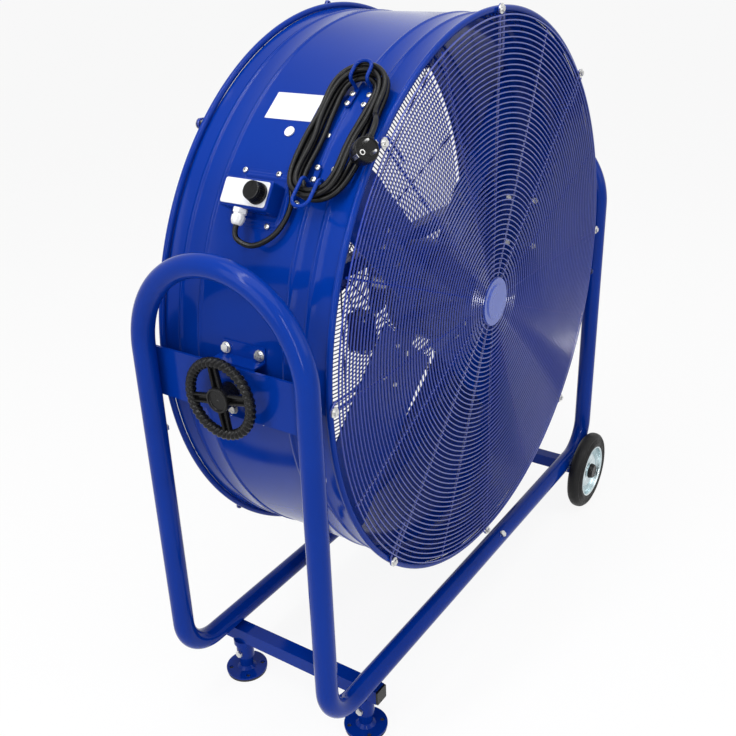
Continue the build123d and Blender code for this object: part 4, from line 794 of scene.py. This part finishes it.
def rim_profile():
    """Dished sheet rim with rolled edges, on a hub tube."""
    front = [(0.01005, 0.0100), (0.0160, 0.0100), (0.0168, 0.0094), (0.0170, 0.0066),
             (0.0185, 0.0062), (0.0220, 0.0068), (0.0260, 0.0082), (0.0300, 0.0096),
             (0.0335, 0.0102), (0.0370, 0.0098), (0.0410, 0.0082), (0.0455, 0.0060),
             (0.0495, 0.0044), (0.0530, 0.0040), (0.0590, 0.0040), (0.0612, 0.0048),
             (0.0620, 0.0070), (0.0622, 0.0140)]
    edge = [(0.0628, 0.0160), (0.0640, 0.0172), (0.0656, 0.0175), (0.0668, 0.0170),
            (0.0673, 0.0160), (0.0669, 0.0150), (0.0642, 0.0128)]
    rear = [(0.0622, -0.0140), (0.0620, -0.0010), (0.0610, 0.0006), (0.0590, 0.0010),
            (0.0500, 0.0010), (0.0455, 0.0028), (0.0400, 0.0056), (0.0350, 0.0070),
            (0.0300, 0.0064), (0.0240, 0.0046), (0.0185, 0.0031), (0.0170, 0.0010),
            (0.0170, -0.0205), (0.0165, -0.0210), (0.01005, -0.0210)]
    return front + mirrored(edge) + rear


CAP_PROFILE = [(0.0103, 0.0102), (0.0192, 0.0102), (0.0198, 0.0108), (0.0196, 0.0122),
               (0.0180, 0.0194), (0.0172, 0.0208), (0.0158, 0.0215), (0.0140, 0.0215),
               (0.0132, 0.0209), (0.0060, 0.0209), (0.0005, 0.0213), (0.0005, 0.0183),
               (0.0103, 0.0183)]


def build_wheel(lane, row):
    body = row + "_wheel"
    for profile, segments, name, material, slot, stands_for in (
            (tyre_profile(), 160, "_tyre_tread", tyre_rubber, "wheel_tyre", "_wheel_tyre"),
            (rim_profile(), 128, "_rim_disc", rim_zinc, "wheel_rim", "_wheel_rim"),
            (CAP_PROFILE, 64, "_hub_cover", black, "black_plastic", "_hub_cap")):
        shape = Shape()
        shape.turn(profile, (WHEEL_X, lane * WHEEL_Y, WHEEL_R), (0, lane, 0), segments=segments)
        shape.piece(row + name, material, body, slot, replaces=(row + stands_for,))


build_wheel(-1, "front")
build_wheel(1, "rear")


# ---------------------------------------------------------------- grilles

RING_FIRST, RING_LAST, RING_COUNT = 0.048, 0.529, 52
RING_Y, RING_WIRE = 0.1865, 0.0015
SPOKE_Y, SPOKE_WIRE, SPOKE_COUNT = 0.1833, 0.002, 16
SPOKE_FROM, SPOKE_TO = 0.040, 0.531
CLIP_R, EYE_R, HAIRPIN_GAP, HAIRPIN_FROM, HAIRPIN_TO = 0.540, 0.0068, 0.014, 0.466, 0.536


def radial(turn, r, y, side, aside=0.0):
    """Point of a grille at a turn from the top, a radius, and a step aside."""
    a = radians(turn)
    return Vector((r * sin(a) + aside * cos(a), side * y, AXIS_Z + r * cos(a) - aside * sin(a)))


def build_grille(side, name, node):
    """Rings on spokes. Every other spoke has a hairpin beside it, bent to an eye round a screw."""
    shape = Shape()
    step = (RING_LAST - RING_FIRST) / (RING_COUNT - 1)
    for k in range(RING_COUNT):
        r = RING_FIRST + step * k
        sides = 8 if r > 0.1 else 6
        shape.turn(ring_profile(r, 0, RING_WIRE, sides), (0, side * RING_Y, AXIS_Z), (0, side, 0),
                   segments=int(48 + 200 * r / RING_LAST))
    for k in range(SPOKE_COUNT):
        turn = 360 / SPOKE_COUNT * k
        shape.rod([radial(turn, SPOKE_FROM, SPOKE_Y, side), radial(turn, SPOKE_TO, SPOKE_Y, side)],
                  SPOKE_WIRE, 10)
        if k % 2:
            continue
        loop = [radial(turn, r, SPOKE_Y, side, HAIRPIN_GAP) for r in (HAIRPIN_FROM, HAIRPIN_TO)]
        for i in range(13):
            t = radians(30 + 240 * i / 12)
            loop.append(radial(turn, CLIP_R + EYE_R * sin(t), SPOKE_Y, side,
                               EYE_R * cos(t) + 0.001))
        shape.rod(loop, SPOKE_WIRE, 10)
    return shape.piece(name, wire_blue_painted_highlight, "drum", "painted_steel", replaces=(node,))


build_grille(-1, "front_grille_wires", "front_grille")
build_grille(1, "rear_grille_wires", "rear_grille")


# ---------------------------------------------------------------- drum shell

WALL, RIDGE_HALF, RIDGE_HEIGHT = 0.002, 0.006, 0.0025
RIDGES = (-0.122, -0.083, 0.097, 0.140)
BEAD_R, BEAD_Y, BEAD_WIRE = 0.539, 0.1752, 0.0058


def build_shell():
    """Rolled sheet with flared ends, four pressed ridges and a rolled rim at each end."""
    shape = Shape()
    flare = [(DRUM_R, 0.147), (DRUM_R + 0.0035, 0.165), (DRUM_R + 0.0045, 0.171)]
    outer = [(r, -y) for r, y in flare[::-1]]
    steps = 8
    for place in RIDGES:
        for k in range(steps + 1):
            t = k / steps
            outer.append((DRUM_R + RIDGE_HEIGHT * 0.5 * (1 - cos(2 * pi * t)),
                          place - RIDGE_HALF + 2 * RIDGE_HALF * t))
    outer += flare
    inner = [(r - WALL, h) for r, h in outer][::-1]
    shape.turn(outer + inner, (0, 0, AXIS_Z), (0, 1, 0), segments=256)
    for side in (-1, 1):
        shape.turn(ring_profile(BEAD_R, side * BEAD_Y, BEAD_WIRE, 14), (0, 0, AXIS_Z), (0, 1, 0),
                   segments=256)
    return shape.piece("drum_skin", blue, "drum", "painted_steel", sharp=50.0,
                       replaces=("drum_shell",))


build_shell()


# ---------------------------------------------------------------- floor and light

FLOOR_HALF, FLOOR_GLOW, SKY_STRENGTH = 90, 0.9, 0.42


def stage_mesh(name, verts, faces, material):
    mesh = bpy.data.meshes.new(name)
    mesh.from_pydata(verts, [], faces)
    mesh.materials.append(material)
    obj = bpy.data.objects.new(name, mesh)
    bpy.context.scene.collection.objects.link(obj)


def seen_directly(tree):
    """1 for a ray from the camera, a reflection or through glass, 0 for light."""
    ray = tree.nodes.new("ShaderNodeLightPath")
    total = None
    for kind in ("Is Camera Ray", "Is Glossy Ray", "Is Transmission Ray"):
        if total is None:
            total = ray.outputs[kind]
            continue
        larger = tree.nodes.new("ShaderNodeMath")
        larger.operation = "MAXIMUM"
        tree.links.new(total, larger.inputs[0])
        tree.links.new(ray.outputs[kind], larger.inputs[1])
        total = larger.outputs[0]
    return total


def build_floor():
    """Nearly white floor that still takes a shadow."""
    material = bpy.data.materials.new("floor")
    material.use_nodes = True
    tree = material.node_tree
    paint = tree.nodes["Principled BSDF"]
    paint.inputs["Base Color"].default_value = (0.95, 0.95, 0.95, 1)
    paint.inputs["Roughness"].default_value = 0.7
    glow = tree.nodes.new("ShaderNodeEmission")
    glow.inputs["Color"].default_value = (1, 1, 1, 1)
    glow.inputs["Strength"].default_value = 1.0
    blend = tree.nodes.new("ShaderNodeMixShader")
    share = tree.nodes.new("ShaderNodeMath")
    share.operation = "MULTIPLY"
    share.inputs[1].default_value = FLOOR_GLOW
    tree.links.new(seen_directly(tree), share.inputs[0])
    tree.links.new(share.outputs[0], blend.inputs["Fac"])
    tree.links.new(paint.outputs[0], blend.inputs[1])
    tree.links.new(glow.outputs[0], blend.inputs[2])
    tree.links.new(blend.outputs[0], tree.nodes["Material Output"].inputs["Surface"])
    corners = [(a * FLOOR_HALF, b * FLOOR_HALF, 0) for a, b in ((-1, -1), (1, -1), (1, 1), (-1, 1))]
    stage_mesh("floor", corners, [(0, 1, 2, 3)], material)


def build_world():
    """White to look at; as a light it is a soft grey sky, lighter at the top."""
    world = bpy.data.worlds.new("studio")
    bpy.context.scene.world = world
    world.use_nodes = True
    tree = world.node_tree
    for node in list(tree.nodes):
        tree.nodes.remove(node)
    surface = tree.nodes.new("ShaderNodeOutputWorld")
    seen = tree.nodes.new("ShaderNodeBackground")
    seen.inputs["Color"].default_value = (1, 1, 1, 1)
    seen.inputs["Strength"].default_value = 1.0
    sky = tree.nodes.new("ShaderNodeBackground")
    place = tree.nodes.new("ShaderNodeTexCoord")
    split = tree.nodes.new("ShaderNodeSeparateXYZ")
    tree.links.new(place.outputs["Generated"], split.inputs[0])
    ramp = tree.nodes.new("ShaderNodeValToRGB")
    low, high = ramp.color_ramp.elements
    low.position, high.position = 0.0, 1.0
    low.color = (0.42, 0.43, 0.46, 1)
    high.color = (0.9, 0.9, 0.92, 1)
    tree.links.new(split.outputs["Z"], ramp.inputs[0])
    tree.links.new(ramp.outputs[0], sky.inputs["Color"])
    sky.inputs["Strength"].default_value = SKY_STRENGTH
    blend = tree.nodes.new("ShaderNodeMixShader")
    tree.links.new(seen_directly(tree), blend.inputs["Fac"])
    tree.links.new(sky.outputs[0], blend.inputs[1])
    tree.links.new(seen.outputs[0], blend.inputs[2])
    tree.links.new(blend.outputs[0], surface.inputs["Surface"])


build_floor()
build_world()


def soft_lamp(name, place, aim_z, size, power):
    """Rectangular lamp that looks at a point on the middle line."""
    data = bpy.data.lights.new(name, "AREA")
    data.shape = "RECTANGLE"
    data.size, data.size_y = size
    data.energy = power
    lamp = bpy.data.objects.new(name, data)
    lamp.location = place
    aim = Vector((0, 0, aim_z))
    lamp.rotation_euler = (Vector(place) - aim).to_track_quat("Z", "Y").to_euler()
    bpy.context.scene.collection.objects.link(lamp)


soft_lamp("overhead", (-0.6, -0.4, 3.6), 0.6, (3.2, 2.4), 50)
soft_lamp("left_box", (-3.2, 0.6, 2.2), 0.7, (2.0, 2.2), 30)
soft_lamp("front_box", (0.8, -3.6, 2.4), 0.7, (2.4, 2.0), 30)
soft_lamp("left_strip", (-2.4, -1.9, 1.7), 0.7, (0.16, 2.2), 22)
soft_lamp("top_strip", (-1.3, 0.2, 3.0), 0.7, (0.2, 3.0), 26)
